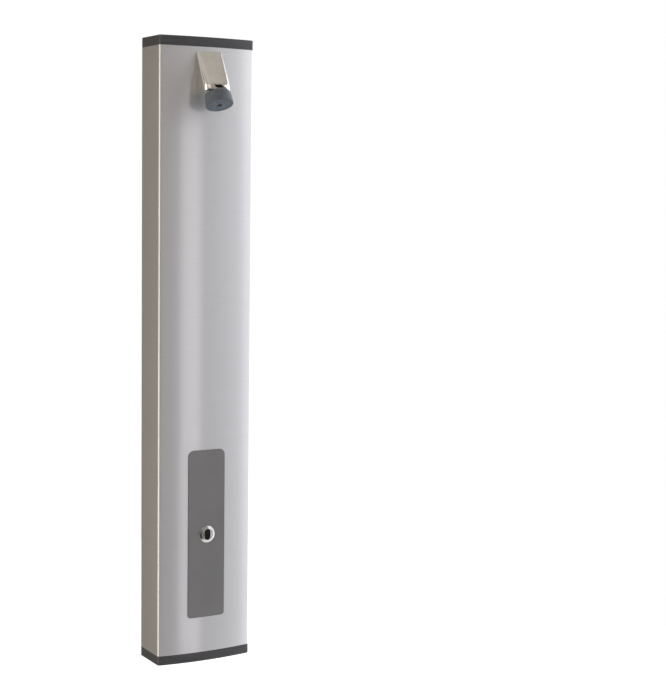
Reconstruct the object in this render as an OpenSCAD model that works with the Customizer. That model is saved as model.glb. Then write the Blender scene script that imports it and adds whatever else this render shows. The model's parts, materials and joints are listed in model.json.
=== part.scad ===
// Sensor-operated wall-mounted shower panel with a fixed angled head.
// The origin is the centre of the four wall holes, on the wall plane.
// +Z is up, the wall lies at y = 0 and the front faces -Y. Millimetres.

/* [Casing] */
// Width of the panel across its flat sides
panel_w = 196; // [180:1:220]
// Height of the panel over both end caps
panel_h = 1200; // [1170:5:1230]
// Depth of the flat sides, from the wall to the start of the bow
side_d = 80.2; // [78:0.2:84]
// How far the middle of the front bows out past the sides
bow = 8.5; // [7:0.5:10]
// Wall thickness of the extrusion
wall = 2.5; // [2.2:0.1:2.7]
// Radius of the two upright front corners
corner_r = 5; // [5:0.5:6]
// Width of each rear return of the extrusion
return_w = 14; // [12:1:15]

/* [End caps] */
// Height of each moulded end cap
cap_h = 18.5; // [16:0.5:22]
// Skin thickness of the end caps
cap_skin = 3; // [2.5:0.5:4]

/* [Fascia] */
// Width of the fascia plate
fascia_w = 78; // [70:1:90]
// Height of the fascia plate
fascia_h = 328; // [300:1:340]
// Gap from the bottom of the panel to the fascia plate
fascia_rise = 87.6; // [80:0.4:100]
// Corner radius at the top of the fascia plate
fascia_r_top = 12; // [8:1:16]
// Corner radius at the bottom of the fascia plate
fascia_r_bottom = 6; // [4:1:12]
// Height of the sensor above the bottom of the panel
sensor_rise = 251; // [230:1:280]

/* [Shower head] */
// Half the width of the chrome head against the panel
head_half = 26.5; // [26:0.5:28]
// Height of the head's top edge above the bottom of the panel
head_top_rise = 1173; // [1165:1:1178]
// Height of the head against the panel
head_h = 84; // [80:1:90]
// Tilt of the spray from straight down, as photographed
spray_tilt = 24; // [22:1:26]
// Radius of the spray face at its rim
spray_r = 26.5; // [25:0.5:28]

/* [Wall fixing] */
// Spacing of the wall holes across the panel
bolt_dx = 144; // [138:1:146]
// Spacing of the wall holes up the panel
bolt_dz = 600; // [560:10:640]
// Radius of each wall hole
bolt_r = 3.25; // [2.5:0.25:4]

/* [Water supply] */
// Distance of the pipework to the left of the middle
pipe_x = 60; // [58:1:62]
// Distance of the pipework from the wall
pipe_y = 34; // [33:0.5:36]
// Outside radius of the copper pipe
pipe_r = 7.5; // [7.4:0.1:7.5]

/* [Hidden] */
$fn = 64;

// Sides of the bow's large circle where it is drawn as a polygon
bow_fn = 720;
// Distance that a cutter runs past the face it cuts
past = 1;

// Places along the height, from the middle of the panel
bottom_z = -panel_h / 2;
joint_z = panel_h / 2 - cap_h;
fascia_z = bottom_z + fascia_rise;
sensor_z = bottom_z + sensor_rise;
head_top_z = bottom_z + head_top_rise;
head_bottom_z = head_top_z - head_h;
tail_z = head_top_z - head_h / 2;

// The bowed front is one circle through the two corners and the middle
bow_r = (pow(panel_w / 2, 2) + bow * bow) / (2 * bow);
bow_cy = bow_r - side_d - bow;
// Centre of the circle that rounds a front corner, the same for every inset
corner_x = panel_w / 2 - corner_r;
corner_y = bow_cy - sqrt(pow(bow_r - corner_r, 2) - corner_x * corner_x);

// Screw ports of the extrusion
port_x = panel_w / 2 - 6.2;
port_ys = [-7.5, -68];
port_bore_r = 1.95;

// Fascia build-up on the bow
pad_t = 0.5;
fascia_t = 1;
fascia_y = -(side_d + bow + pad_t + fascia_t);

// Shower head: spray frame and the underside that it hangs from
gasket_t = 0.8;
ball_r = 8;
ball_y = -119.2;
ball_z = bottom_z + 1105.7;
socket_tilt = 18;
socket_r = 10.5;
shell_top = 14;
shell_h = 23.9;
// Rows of spray nozzles: radius and count
nozzle_rows = [[11, 12], [15.8, 18], [21.8, 32]];
nose_tilt = 14.4;
nose_r = 12;
nose_cx = 14;
nose_cy = -121.9;
nose_cz = bottom_z + 1097.5;
nose_h = 12.9;
fixing_dx = 14;
fixing_z = tail_z + 22;
clamp_y = -82;
thread_r = 10.4;
thread_bore_r = 10.45;
waterway_r = 5.5;

// Compression joint, measured from the nut's inner end
nut_len = 16;
nut_mouth = 10;
socket_bore_r = 7.6;

// Steel channel on the wall, and the bracket that the top cap hangs on
plate_half_w = 82;
plate_bottom_z = -500;
plate_h = 1068;
plate_t = 2;
flange_d = 14;
hook_z = 525;
hook_y = -16;
tongue_y = -14;
shelf_z = -565;
lock_x = 50;
lock_y = -28;
lock_boss_h = shelf_z - bottom_z - cap_skin / 2;

// Heights of the fittings on the supply line
inlet_z = -520;
inlet_mouth_y = -13.5;
inlet_socket = 14;
isolator_z = -470;
valve_bottom_z = -506;
valve_top_z = -420;
isolator_ball_r = 8.5;
solenoid_z = -385;
riser_bottom_z = -355;
riser_mouth_z = -344;
bend_r = 30;
elbow_mouth_x = -24;
clip_zs = [-200, 100, 400];
clip_screw_dx = 12.5;

// Solenoid stack, as distances in front of the wall
chamber_y = 50;
diaphragm_t = 1.6;
bonnet_t = 6.4;
bonnet_y = chamber_y + diaphragm_t + bonnet_t;
bonnet_r = 22;
bonnet_screw_pcd_r = 19.2;
plunger_r = 4.5;
plunger_tip_y = 53.6;
plunger_len = 18;
core_end_y = 80;
core_plug_y = 74;

// Control box behind the front, on the right
box_x = 20;
box_w = 58;
box_mid_x = box_x + box_w / 2;
box_z = -505;
box_h = 110;
box_d = 40;
box_wall = 2.5;
box_boss_in = 6.5;
cell_r = 7.25;
cell_h = 50.5;
gland_xs = [38, 60];
gland_y = -25;
cable_r = 2;

// Colours
aluminium = "#c4c2c0";
cap_grey = "#4c4c4e";
plate_grey = "#68686a";
chrome = "#c9c8c2";
brass = "#b79a55";
copper = "#b87048";
spray_grey = "#5c646a";

// A hexagon of the given size across its flats
module hexagon(across, h) { cylinder(d = across / cos(30), h = h, $fn = 6); }

// A plain ring standing on z = 0
module ring(r_out, r_in, h) {
    difference() {
        cylinder(r = r_out, h = h);
        translate([0, 0, -past]) cylinder(r = r_in, h = h + 2 * past);
    }
}

// Turns local +Z towards the front, the wall or the left
module to_front() { rotate([90, 0, 0]) children(); }
module to_wall() { rotate([-90, 0, 0]) children(); }
module to_left() { rotate([0, -90, 0]) children(); }

// The disc whose edge is the bow, moved outwards by an offset
module bow_disc(out = 0) { translate([0, bow_cy]) circle(r = bow_r + out, $fn = bow_fn); }

// The panel's outline seen from above, drawn in by an inset
module outline(inset = 0) {
    reach = 1.1;
    half = panel_w / 2 - inset;
    intersection() {
        bow_disc(-inset);
        polygon([[0, bow_cy],
                 [-reach * corner_x, bow_cy + reach * (corner_y - bow_cy)],
                 [reach * corner_x, bow_cy + reach * (corner_y - bow_cy)]]);
        translate([-half, -2 * side_d]) square([2 * half, 2 * side_d - inset]);
    }
    translate([-half, corner_y]) square([2 * half, -inset - corner_y]);
    for (s = [-1, 1])
        translate([s * corner_x, corner_y]) circle(r = corner_r - inset);
}

// Places children at the four screw ports
module at_ports() {
    for (s = [-1, 1], y = port_ys) translate([s * port_x, y]) children();
}

// A layer that lies on the bow, from one offset outwards to another
module bow_layer(from, to, half_w, h) {
    linear_extrude(h) intersection() {
        difference() {
            bow_disc(to);
            bow_disc(from);
        }
        translate([-half_w, -side_d - bow - 2 * to]) square([2 * half_w, side_d]);
    }
}

// A rectangle with its own corner radius at the top and at the bottom
module rounded_plate(w, h, r_top, r_bottom) {
    translate([-w / 2 + r_bottom, 0]) square([w - 2 * r_bottom, r_bottom]);
    translate([-w / 2, r_bottom]) square([w, h - r_top - r_bottom]);
    translate([-w / 2 + r_top, h - r_top]) square([w - 2 * r_top, r_top]);
    for (s = [-1, 1]) {
        translate([s * (w / 2 - r_bottom), r_bottom]) circle(r = r_bottom);
        translate([s * (w / 2 - r_top), h - r_top]) circle(r = r_top);
    }
}

// A slot with round ends, upright
module upright_slot(w, h) {
    square([w, h - w], center = true);
    for (s = [-1, 1]) translate([0, s * (h - w) / 2]) circle(d = w);
}

// Casing

// Aluminium extrusion: bowed front, flat sides, rear returns and four screw ports
module casing() {
    rear_gap = panel_w - 2 * return_w;
    color(aluminium) difference() {
        translate([0, 0, -joint_z]) linear_extrude(2 * joint_z) difference() {
            union() {
                difference() {
                    outline();
                    outline(wall);
                    translate([-rear_gap / 2, -wall - past]) square([rear_gap, wall + 2 * past]);
                }
                at_ports() circle(r = 4.2);
            }
            at_ports() circle(r = port_bore_r);
        }
        translate([0, -side_d + wall, tail_z]) to_front() cylinder(r = 11, h = 30);
        for (s = [-1, 1])
            translate([s * fixing_dx, -side_d + wall, fixing_z]) to_front() cylinder(r = 2.5, h = 30);
        translate([0, -side_d + wall, sensor_z]) to_front() cylinder(r = 12.3, h = 30);
    }
}

// A moulded cap standing on the end of the casing, with its skin uppermost
module end_cap() {
    spigot_h = 10;
    difference() {
        union() {
            difference() {
                linear_extrude(cap_h) outline();
                translate([0, 0, -past]) linear_extrude(cap_h - cap_skin + past) outline(cap_skin);
            }
            translate([0, 0, -spigot_h]) linear_extrude(spigot_h + cap_h - cap_skin) difference() {
                outline(wall + 0.2);
                outline(wall + 2.2);
                at_ports() circle(r = 6.4);
            }
            linear_extrude(cap_h - cap_skin / 2) at_ports() circle(r = 4.7);
        }
        at_ports() {
            translate([0, 0, -past]) cylinder(r = 2.2, h = cap_h + 2 * past);
            translate([0, 0, cap_h - 2.2]) cylinder(r1 = 2.2, r2 = 4.2, h = 2.2);
        }
    }
}

// Top cap, with a tongue that drops behind the hanging bracket
module top_end_cap() {
    color(cap_grey) {
        translate([0, 0, joint_z]) end_cap();
        translate([-58, tongue_y, hook_z + plate_t])
            cube([116, 3, panel_h / 2 - cap_skin / 2 - hook_z - plate_t]);
    }
}

// Bottom cap, with bosses for the two locking screws
module bottom_end_cap() {
    color(cap_grey) difference() {
        union() {
            translate([0, 0, -joint_z]) mirror([0, 0, 1]) end_cap();
            at_locks() translate([0, 0, cap_skin / 2]) cylinder(r = 6, h = lock_boss_h);
        }
        at_locks() {
            translate([0, 0, -past]) cylinder(r = 2.7, h = lock_boss_h + cap_skin);
            cylinder(r1 = 5, r2 = 2.7, h = 2.6);
        }
    }
}

// Places children at the two locking screws, on the underside of the bottom cap
module at_locks() {
    for (s = [-1, 1]) translate([s * lock_x, lock_y, bottom_z]) children();
}

// Countersunk screw with its face at z = 0, pointing down
module countersunk(head_r, shank_r, head_h, len) {
    difference() {
        union() {
            translate([0, 0, -head_h]) cylinder(r1 = shank_r, r2 = head_r, h = head_h);
            translate([0, 0, -len]) cylinder(r = shank_r, h = len - head_h);
        }
        translate([0, 0, -head_h * 0.6]) hexagon(head_r * 0.8, head_h);
    }
}

module cap_screws() {
    color("#9a9a9c") for (m = [0, 1]) mirror([0, 0, m])
        translate([0, 0, panel_h / 2]) at_ports() countersunk(4.1, 1.9, 2.2, 32);
}

module locking_screws() {
    color("#9a9a9c") at_locks() mirror([0, 0, 1]) countersunk(4.9, 2.45, 2.6, 43);
}

// Wall side

// A hole along Y through the web of the back plate
module plate_hole(x, z, r) {
    translate([x, past, z]) to_front() cylinder(r = r, h = plate_t + 2 * past);
}

// Zinc-plated steel channel that screws to the wall and ends above the inlet
module back_plate() {
    color("#a9abad") difference() {
        translate([0, 0, plate_bottom_z]) union() {
            translate([-plate_half_w, -plate_t, 0]) cube([2 * plate_half_w, plate_t, plate_h]);
            for (x = [-plate_half_w, plate_half_w - plate_t])
                translate([x, -flange_d, 0]) cube([plate_t, flange_d, plate_h]);
        }
        for (sx = [-1, 1], sz = [-1, 1]) plate_hole(sx * bolt_dx / 2, sz * bolt_dz / 2, bolt_r);
        for (z = clip_zs, s = [-1, 1]) plate_hole(-pipe_x + s * clip_screw_dx, z, 1.75);
    }
}

// Folded hook near the top, welded to the back plate, that the top cap hangs on
module hanging_bracket() {
    color("#9ea0a2") translate([-60, 0, hook_z]) {
        translate([0, -2 * plate_t, 0]) cube([120, plate_t, 40]);
        translate([0, hook_y, 0]) cube([120, -hook_y - plate_t, plate_t]);
        translate([0, hook_y, 0]) cube([120, plate_t, 20]);
    }
}

// Folded shelf near the bottom with a threaded insert for each locking screw, and a tab beside the
// inlet that is welded to the back plate
module lower_bracket() {
    shelf_d = 40;
    insert_h = 8;
    color("#9ea0a2") difference() {
        union() {
            translate([-62, -2 * plate_t, shelf_z]) cube([124, plate_t, 25]);
            translate([-38, -2 * plate_t, shelf_z]) cube([56, plate_t, plate_bottom_z + 30 - shelf_z]);
            translate([-62, -shelf_d, shelf_z]) cube([124, shelf_d - plate_t, plate_t]);
            at_locks() translate([0, 0, shelf_z - bottom_z]) cylinder(r = 5, h = insert_h);
        }
        at_locks() translate([0, 0, shelf_z - bottom_z - past]) cylinder(r = 2.5, h = insert_h + 2 * past);
    }
}

// Fascia and sensor

// Cuts a layer on the bow to the fascia's outline, with a hole for the sensor
module fascia_layer(from, to, inset, hole_r) {
    difference() {
        intersection() {
            translate([0, 0, fascia_z]) bow_layer(from, to, fascia_w, fascia_h);
            translate([0, -side_d, fascia_z + inset]) to_front() linear_extrude(20)
                rounded_plate(fascia_w - 2 * inset, fascia_h - 2 * inset,
                              fascia_r_top - inset, fascia_r_bottom - inset);
        }
        translate([0, -side_d, sensor_z]) to_front() cylinder(r = hole_r, h = 20);
    }
}

module fascia_pad() { color("#222224") fascia_layer(0, pad_t, 0, 12.4); }

module fascia_plate() { color(plate_grey) fascia_layer(pad_t, pad_t + fascia_t, 0.4, 12.2); }

// Places children on the fascia's face at the sensor, with local +Z to the front
module at_sensor() { translate([0, fascia_y, sensor_z]) to_front() children(); }

// Chamfered ring with a threaded barrel through the fascia and the casing
module sensor_bezel() {
    color("#b9b8b6") at_sensor() difference() {
        rotate_extrude() polygon([[0, 3.8], [11.2, 3.8], [16.2, 1.2], [16.5, 0.9], [16.5, 0],
                                  [12, 0], [12, -20], [10.9, -20], [10.9, 2.2], [0, 2.2]]);
        linear_extrude(10) upright_slot(12, 21);
    }
}

// Infrared window with a flange behind the bezel's slot
module sensor_window() {
    color("#1c1917") at_sensor() {
        translate([0, 0, 2]) linear_extrude(1.3) upright_slot(11.9, 20.9);
        translate([0, 0, 0.6]) cylinder(r = 10.85, h = 1.5);
    }
}

// Potted infrared transmitter and receiver
module sensor_module() {
    color("#2b2b2d") at_sensor() {
        translate([0, 0, -19]) cylinder(r = 10.8, h = 19.5);
        translate([0, 0, -22]) cylinder(r = 4, h = 3.5);
    }
}

module sensor_locknut() {
    color("#8c8c8e") at_sensor() translate([0, 0, -10.5]) difference() {
        hexagon(32, 6);
        translate([0, 0, -past]) cylinder(r = 12.05, h = 8);
    }
}

// Shower head

// Wedge from a rounded oblong on the panel to a rounded nose, as one blend
module head_blend() {
    hull() {
        for (s = [-1, 1]) {
            translate([s * (head_half - 4), -85, head_top_z - 4]) to_front() cylinder(r = 4, h = 5, $fn = 32);
            translate([s * (head_half - 3), -85, head_bottom_z + 3]) to_front() cylinder(r = 3, h = 5, $fn = 32);
            translate([s * nose_cx, nose_cy, nose_cz]) rotate([-nose_tilt, 0, 0]) {
                cylinder(r = nose_r, h = nose_h - 1, $fn = 32);
                cylinder(r = nose_r - 1, h = nose_h, $fn = 32);
            }
        }
    }
}

// Frames whose origin is the ball's centre and whose -Z is the socket's or the spray's axis
module in_socket() { translate([0, ball_y, ball_z]) rotate([-socket_tilt, 0, 0]) children(); }
module in_spray() { translate([0, ball_y, ball_z]) rotate([-spray_tilt, 0, 0]) children(); }

// Chrome-plated brass body with its waterway, ball socket and fixing holes
module head_body() {
    color(chrome) difference() {
        head_blend();
        translate([0, 0, head_bottom_z - past]) linear_extrude(head_h + 2 * past) bow_disc(gasket_t);
        translate([0, -80, tail_z]) to_front() {
            cylinder(r = thread_bore_r, h = 18);
            cylinder(r = 4.5, h = 32);
        }
        for (s = [-1, 1]) translate([s * fixing_dx, -80, fixing_z]) to_front() cylinder(r = 2, h = 18);
        in_socket() {
            translate([0, 0, -20]) cylinder(r = socket_r, h = 26);
            cylinder(r = 7.5, h = 10.4);
            cylinder(r = 4.5, h = 23);
        }
    }
}

// Rubber gasket between the head and the bowed front
module head_gasket() {
    color("#2a2a2c") difference() {
        intersection() {
            translate([0, 0, head_bottom_z]) bow_layer(0, gasket_t, head_half, head_h);
            translate([0, -side_d, head_bottom_z + 0.6]) to_front() linear_extrude(20)
                rounded_plate(2 * head_half - 1.2, head_h - 1.2, 3.4, 2.4);
        }
        translate([0, -80, tail_z]) to_front() cylinder(r = 11, h = 20);
        for (s = [-1, 1]) translate([s * fixing_dx, -80, fixing_z]) to_front() cylinder(r = 2.5, h = 20);
    }
}

// Threaded brass tube from the head through the casing
module head_tail() {
    color(brass) translate([0, -61, tail_z]) to_front() ring(thread_r, 6.5, 36.5);
}

// Spreader behind the casing's front, curved to fit it
module clamp_plate() {
    color("#9ea0a2") difference() {
        translate([0, 0, tail_z - 25]) linear_extrude(62) intersection() {
            bow_disc(-wall);
            translate([-24, clamp_y - 10]) square([48, 10]);
        }
        translate([0, -70, tail_z]) to_front() cylinder(r = 10.6, h = 30);
        for (s = [-1, 1]) translate([s * fixing_dx, -70, fixing_z]) to_front() cylinder(r = 2.1, h = 30);
    }
}

module head_locknut() {
    color(brass) translate([0, clamp_y + 6, tail_z]) to_front() difference() {
        hexagon(27, 6);
        translate([0, 0, -past]) cylinder(r = thread_bore_r, h = 8);
    }
}

module head_fixing_screws() {
    color("#9a9a9c") for (s = [-1, 1]) translate([s * fixing_dx, clamp_y, fixing_z]) to_front() {
        cylinder(r = 1.95, h = 15);
        translate([0, 0, -2.6]) difference() {
            cylinder(r = 3.6, h = 2.6);
            translate([0, 0, -past]) hexagon(2.5, 2.6);
        }
    }
}

// Disc that limits the flow, with six ports
module flow_regulator() {
    color("#3f6f4f") in_socket() translate([0, 0, 6.4]) difference() {
        cylinder(r = 7.4, h = 3.4);
        for (k = [0:5]) rotate(60 * k) translate([4, 0, -past]) cylinder(r = 1.1, h = 6);
        translate([0, 0, -6.4]) sphere(r = ball_r + 0.5);
    }
}

// Rubber seat above the ball
module ball_seal() {
    color("#303032") in_socket() difference() {
        translate([0, 0, 3.3]) cylinder(r = 10.4, h = 2.6);
        translate([0, 0, 3]) cylinder(r = 4.6, h = 5);
        sphere(r = ball_r + 0.05);
    }
}

// Threaded ring that holds the ball in the nose
module socket_ring() {
    color(chrome) in_socket() difference() {
        translate([0, 0, -7]) cylinder(r = 10.4, h = 10);
        translate([0, 0, -8]) cylinder(r = 6.4, h = 12);
        sphere(r = ball_r + 0.05);
    }
}

// Hollow ball and stem that feed the spray head
module swivel_ball() {
    color(brass) in_spray() difference() {
        union() {
            sphere(r = ball_r);
            translate([0, 0, -33]) cylinder(r = 4.2, h = 30);
        }
        translate([0, 0, -28]) cylinder(r = 2.6, h = 40);
        translate([-6, 0, -26.5]) rotate([0, 90, 0]) cylinder(r = 1.5, h = 12);
        translate([0, 0, -34]) cylinder(r = 1.65, h = 5.5);
    }
}

// Moulded bell of the spray head
module spray_shell() {
    top = -shell_top;
    rim = -shell_top - shell_h;
    color(spray_grey) in_spray() rotate_extrude() polygon([
        [4.25, top + 2.8], [9, top + 2.8], [21.5, top + 1], [23.8, top - 0.2], [24.6, top - 2],
        [spray_r, rim + 1.6], [spray_r - 0.8, rim], [23.6, rim], [23.6, rim + 2.9], [22.2, rim + 2.9],
        [21.8, top - 3], [8, top - 1.5], [8, top - 10], [4.25, top - 10]]);
}

// Places children at every nozzle of the spray face
module at_nozzles() {
    for (row = nozzle_rows, k = [0 : row[1] - 1])
        rotate(360 * k / row[1]) translate([row[0], 0, 0]) children();
}

// Flexible face with rub-clean nozzles and a groove between the two outer rows
module spray_face() {
    rim = -shell_top - shell_h;
    color("#4f575e") in_spray() difference() {
        union() {
            translate([0, 0, rim]) cylinder(r = 23.55, h = 2.9);
            translate([0, 0, rim + 2.5]) cylinder(r = 5.5, h = 2.4);
            at_nozzles() translate([0, 0, rim - 1.2]) cylinder(r = 1, h = 2);
        }
        translate([0, 0, rim - past]) cylinder(r = 6.4, h = 3.2);
        translate([0, 0, rim - past]) ring(19.6, 18.4, past + 0.7);
        translate([0, 0, rim - past]) cylinder(r = 1.8, h = 10);
        at_nozzles() translate([0, 0, rim - 2]) cylinder(r = 0.5, h = 6);
    }
}

module face_screw() {
    seat = -shell_top - shell_h + 2.2;
    color("#77797b") in_spray() difference() {
        union() {
            translate([0, 0, seat - 1.8]) cylinder(r = 3.3, h = 1.8);
            translate([0, 0, seat]) cylinder(r = 1.6, h = 6.3);
        }
        translate([0, 0, seat - 2.8]) hexagon(2.5, 2.2);
    }
}

// Pipework

// Nut of a compression joint, closing towards its outer end
module compression_nut() {
    difference() {
        hexagon(24, nut_len);
        translate([0, 0, -past]) cylinder(r = thread_bore_r, h = 11 + past);
        translate([0, 0, 11]) cylinder(r1 = thread_bore_r, r2 = 7.75, h = 3);
        cylinder(r = 7.75, h = nut_len + past);
    }
}

// The soft ring that the nut squeezes onto the pipe
module olive() {
    rotate_extrude() polygon([[7.65, nut_mouth], [8.6, nut_mouth], [9.2, 11.4], [8.1, 13.4], [7.65, 13.4]]);
}

// Places children at the three compression joints, with local +Z out of the fitting
module at_joints() {
    translate([-pipe_x, inlet_mouth_y - nut_mouth, inlet_z]) to_wall() children();
    translate([-pipe_x, -pipe_y, riser_mouth_z - nut_mouth]) children();
    translate([elbow_mouth_x + nut_mouth, -pipe_y, tail_z]) to_left() children();
}

module compression_nuts() { color(brass) at_joints() compression_nut(); }

module olives() { color(copper) at_joints() olive(); }

// Copper pipe up the panel, with one bend at the top
module riser_pipe() {
    bend_z = tail_z - bend_r;
    color(copper) {
        translate([-pipe_x, -pipe_y, riser_bottom_z]) ring(pipe_r, pipe_r - 1, bend_z - riser_bottom_z);
        translate([-pipe_x + bend_r, -pipe_y, bend_z]) rotate([90, 0, 0])
            rotate([0, 0, 90]) rotate_extrude(angle = 90) translate([bend_r, 0]) difference() {
                circle(r = pipe_r);
                circle(r = pipe_r - 1);
            }
        translate([elbow_mouth_x + 11, -pipe_y, tail_z]) to_left()
            ring(pipe_r, pipe_r - 1, pipe_x - bend_r + elbow_mouth_x + 11);
    }
}

// Elbow between the riser and the head's tail
module tail_elbow() {
    color(brass) translate([0, -pipe_y, tail_z]) difference() {
        union() {
            sphere(r = 11.5);
            to_left() cylinder(r = thread_r, h = -elbow_mouth_x);
            to_front() cylinder(r = 8.9, h = 26);
            to_front() translate([0, 0, 23.8]) cylinder(r = 9.9, h = 2.2);
        }
        to_left() cylinder(r = waterway_r, h = 30);
        to_left() translate([0, 0, -elbow_mouth_x - 12]) cylinder(r = socket_bore_r, h = 20);
        to_front() cylinder(r = waterway_r, h = 30);
    }
}

module union_washer() {
    color("#7a2f28") translate([0, -pipe_y - 26, tail_z]) to_front() ring(9.8, 6.2, 1);
}

// Captive nut that draws the elbow onto the tail
module union_nut() {
    color(brass) translate([0, -54, tail_z]) to_front() difference() {
        hexagon(24, 14);
        translate([0, 0, -past]) cylinder(r = 9, h = 16);
        translate([0, 0, 3.8]) cylinder(r = thread_bore_r, h = 12);
    }
}

// Saddles that hold the riser off the back plate
module pipe_clips() {
    clip_h = 14;
    color("#d8d8d4") for (z = clip_zs) translate([-pipe_x, 0, z - clip_h / 2]) difference() {
        union() {
            translate([-17, -5, 0]) cube([34, 3, clip_h]);
            translate([-6, -pipe_y + 9, 0]) cube([12, pipe_y - 13, clip_h]);
            translate([0, -pipe_y, 0]) cylinder(r = 10.2, h = clip_h);
        }
        translate([0, -pipe_y, -past]) cylinder(r = pipe_r + 0.05, h = clip_h + 2 * past);
        translate([-5.5, -pipe_y - 12, -past]) cube([11, 8, clip_h + 2 * past]);
        for (s = [-1, 1])
            translate([s * clip_screw_dx, -1, clip_h / 2]) to_front() cylinder(r = 1.75, h = 6);
    }
}

module clip_screws() {
    color("#9a9a9c") for (z = clip_zs, s = [-1, 1])
        translate([-pipe_x + s * clip_screw_dx, -5, z]) to_front() {
            translate([0, 0, -4.8]) cylinder(r = 1.7, h = 4.8);
            cylinder(r = 3.2, h = 2);
        }
}

// Isolating valve

// Supply elbow: the pipe comes in from the wall and the water turns up
module inlet_elbow() {
    leg = pipe_y + inlet_mouth_y;
    color(brass) translate([-pipe_x, -pipe_y, inlet_z]) difference() {
        union() {
            sphere(r = 12);
            to_wall() cylinder(r = thread_r, h = leg);
            cylinder(r = thread_r, h = 26);
        }
        to_wall() cylinder(r = waterway_r, h = leg);
        to_wall() translate([0, 0, leg - inlet_socket]) cylinder(r = socket_bore_r, h = inlet_socket + past);
        cylinder(r = waterway_r, h = 30);
    }
}

module isolating_valve_body() {
    color(brass) translate([-pipe_x, -pipe_y, 0]) difference() {
        union() {
            translate([0, 0, valve_bottom_z]) hexagon(27, 12);
            translate([0, 0, valve_bottom_z + 10]) cylinder(r = 13.2, h = 60);
            translate([0, 0, valve_bottom_z + 68]) cylinder(r = thread_r, h = valve_top_z - valve_bottom_z - 68);
            translate([0, 0, isolator_z]) to_front() cylinder(r = 7.5, h = 20);
        }
        translate([0, 0, valve_bottom_z - past]) cylinder(r = thread_bore_r, h = 13 + past);
        translate([0, 0, -493.5]) cylinder(r = 9.2, h = 32.5);
        translate([0, 0, isolator_z]) cylinder(r = waterway_r, h = 60);
        translate([0, 0, isolator_z]) to_front() cylinder(r = 4.05, h = 22);
    }
}

// Ring below the ball that holds both seats in
module ball_retainer() {
    color(brass) translate([-pipe_x, -pipe_y, -493]) ring(9.15, waterway_r, 14);
}

// Two rings hollowed to the ball
module valve_seats() {
    color("#f0efe8") translate([-pipe_x, -pipe_y, isolator_z]) difference() {
        union() {
            translate([0, 0, -9]) ring(9.15, waterway_r, 4.5);
            translate([0, 0, 4.5]) ring(9.15, waterway_r, 4.5);
        }
        sphere(r = isolator_ball_r + 0.05);
    }
}

// Bored ball with a slot for the spindle's tang
module isolating_ball() {
    color("#cfcfca") translate([-pipe_x, -pipe_y, isolator_z]) difference() {
        sphere(r = isolator_ball_r);
        cylinder(r = 5, h = 40, center = true);
        translate([-7, -10, -1.5]) cube([14, 4, 3]);
    }
}

// Spindle that turns the ball, with a screwdriver slot in its end
module isolating_spindle() {
    color(brass) translate([-pipe_x, -pipe_y, isolator_z]) difference() {
        union() {
            translate([-2.5, -10, -1.45]) cube([5, 3.9, 2.9]);
            translate([0, -9.2, 0]) to_front() cylinder(r = 4, h = 17.8);
        }
        translate([-5, -28, -0.7]) cube([10, 2.6, 1.4]);
    }
}

module gland_nut() {
    color(brass) translate([-pipe_x, -pipe_y - 20, isolator_z]) to_front() difference() {
        hexagon(13, 4);
        translate([0, 0, -past]) cylinder(r = 4.1, h = 6);
    }
}

// Solenoid valve

// Thimble of fine mesh, drawn as a drilled cup
module inlet_filter() {
    rows = 4;
    per_row = 8;
    color("#bfbfb8") translate([-pipe_x, -pipe_y, valve_top_z + 0.5]) difference() {
        union() {
            cylinder(r = 5.3, h = 17);
            cylinder(r = 6.8, h = 1.5);
        }
        translate([0, 0, -past]) cylinder(r = 4.6, h = 17);
        for (i = [0 : rows - 1], k = [0 : per_row / 2 - 1])
            translate([0, 0, 4 + 3.2 * i]) rotate([90, 0, 360 * k / per_row + 20 * i])
                cylinder(r = 0.9, h = 20, center = true);
    }
}

// Places children at the middle of the solenoid's diaphragm, local +Z to the front, y = 0 at the wall
module at_solenoid(d) { translate([-pipe_x, -d, solenoid_z]) to_front() children(); }

module at_bonnet_screws() {
    for (k = [0:3]) rotate(45 + 90 * k) translate([bonnet_screw_pcd_r, 0, 0]) children();
}

// Valve body with its inlet passage, ring chamber, seat and outlet passage
module solenoid_body() {
    color(brass) difference() {
        union() {
            translate([-pipe_x, -pipe_y, valve_top_z - 13]) cylinder(r = 13, h = 30);
            translate([-pipe_x, -pipe_y, valve_top_z]) cylinder(r = 12.5, h = 64);
            translate([-pipe_x, -pipe_y, riser_mouth_z - 13]) cylinder(r = thread_r, h = 13);
            at_solenoid(pipe_y + 2) cylinder(r = bonnet_r, h = chamber_y - pipe_y - 2);
        }
        translate([-pipe_x, -pipe_y, valve_top_z - 14]) cylinder(r = thread_bore_r, h = 14.5);
        translate([-pipe_x, -pipe_y, valve_top_z - past]) cylinder(r = 7, h = 3);
        translate([-pipe_x, -pipe_y, valve_top_z]) cylinder(r = waterway_r, h = 22);
        at_solenoid(pipe_y) translate([0, -14, 0]) cylinder(r = 3, h = 12);
        at_solenoid(chamber_y - 7) difference() {
            cylinder(r = 16.5, h = 8);
            translate([0, 0, -past]) cylinder(r = 8.5, h = 10);
        }
        at_solenoid(pipe_y) cylinder(r = waterway_r, h = 20);
        translate([-pipe_x, -pipe_y, solenoid_z]) cylinder(r = waterway_r, h = 60);
        translate([-pipe_x, -pipe_y, riser_mouth_z - 12]) cylinder(r = socket_bore_r, h = 14);
        at_solenoid(chamber_y - 9) at_bonnet_screws() cylinder(r = 1.55, h = 10);
    }
}

module valve_diaphragm() {
    color("#2e2e30") at_solenoid(chamber_y) difference() {
        union() {
            cylinder(r = bonnet_r, h = diaphragm_t);
            cylinder(r = 4, h = plunger_tip_y - chamber_y - 0.1);
        }
        translate([0, 0, -past]) cylinder(r = 0.8, h = 8);
        translate([12, 0, -past]) cylinder(r = 0.6, h = 8);
        at_bonnet_screws() translate([0, 0, -past]) cylinder(r = 1.8, h = 5);
    }
}

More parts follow.
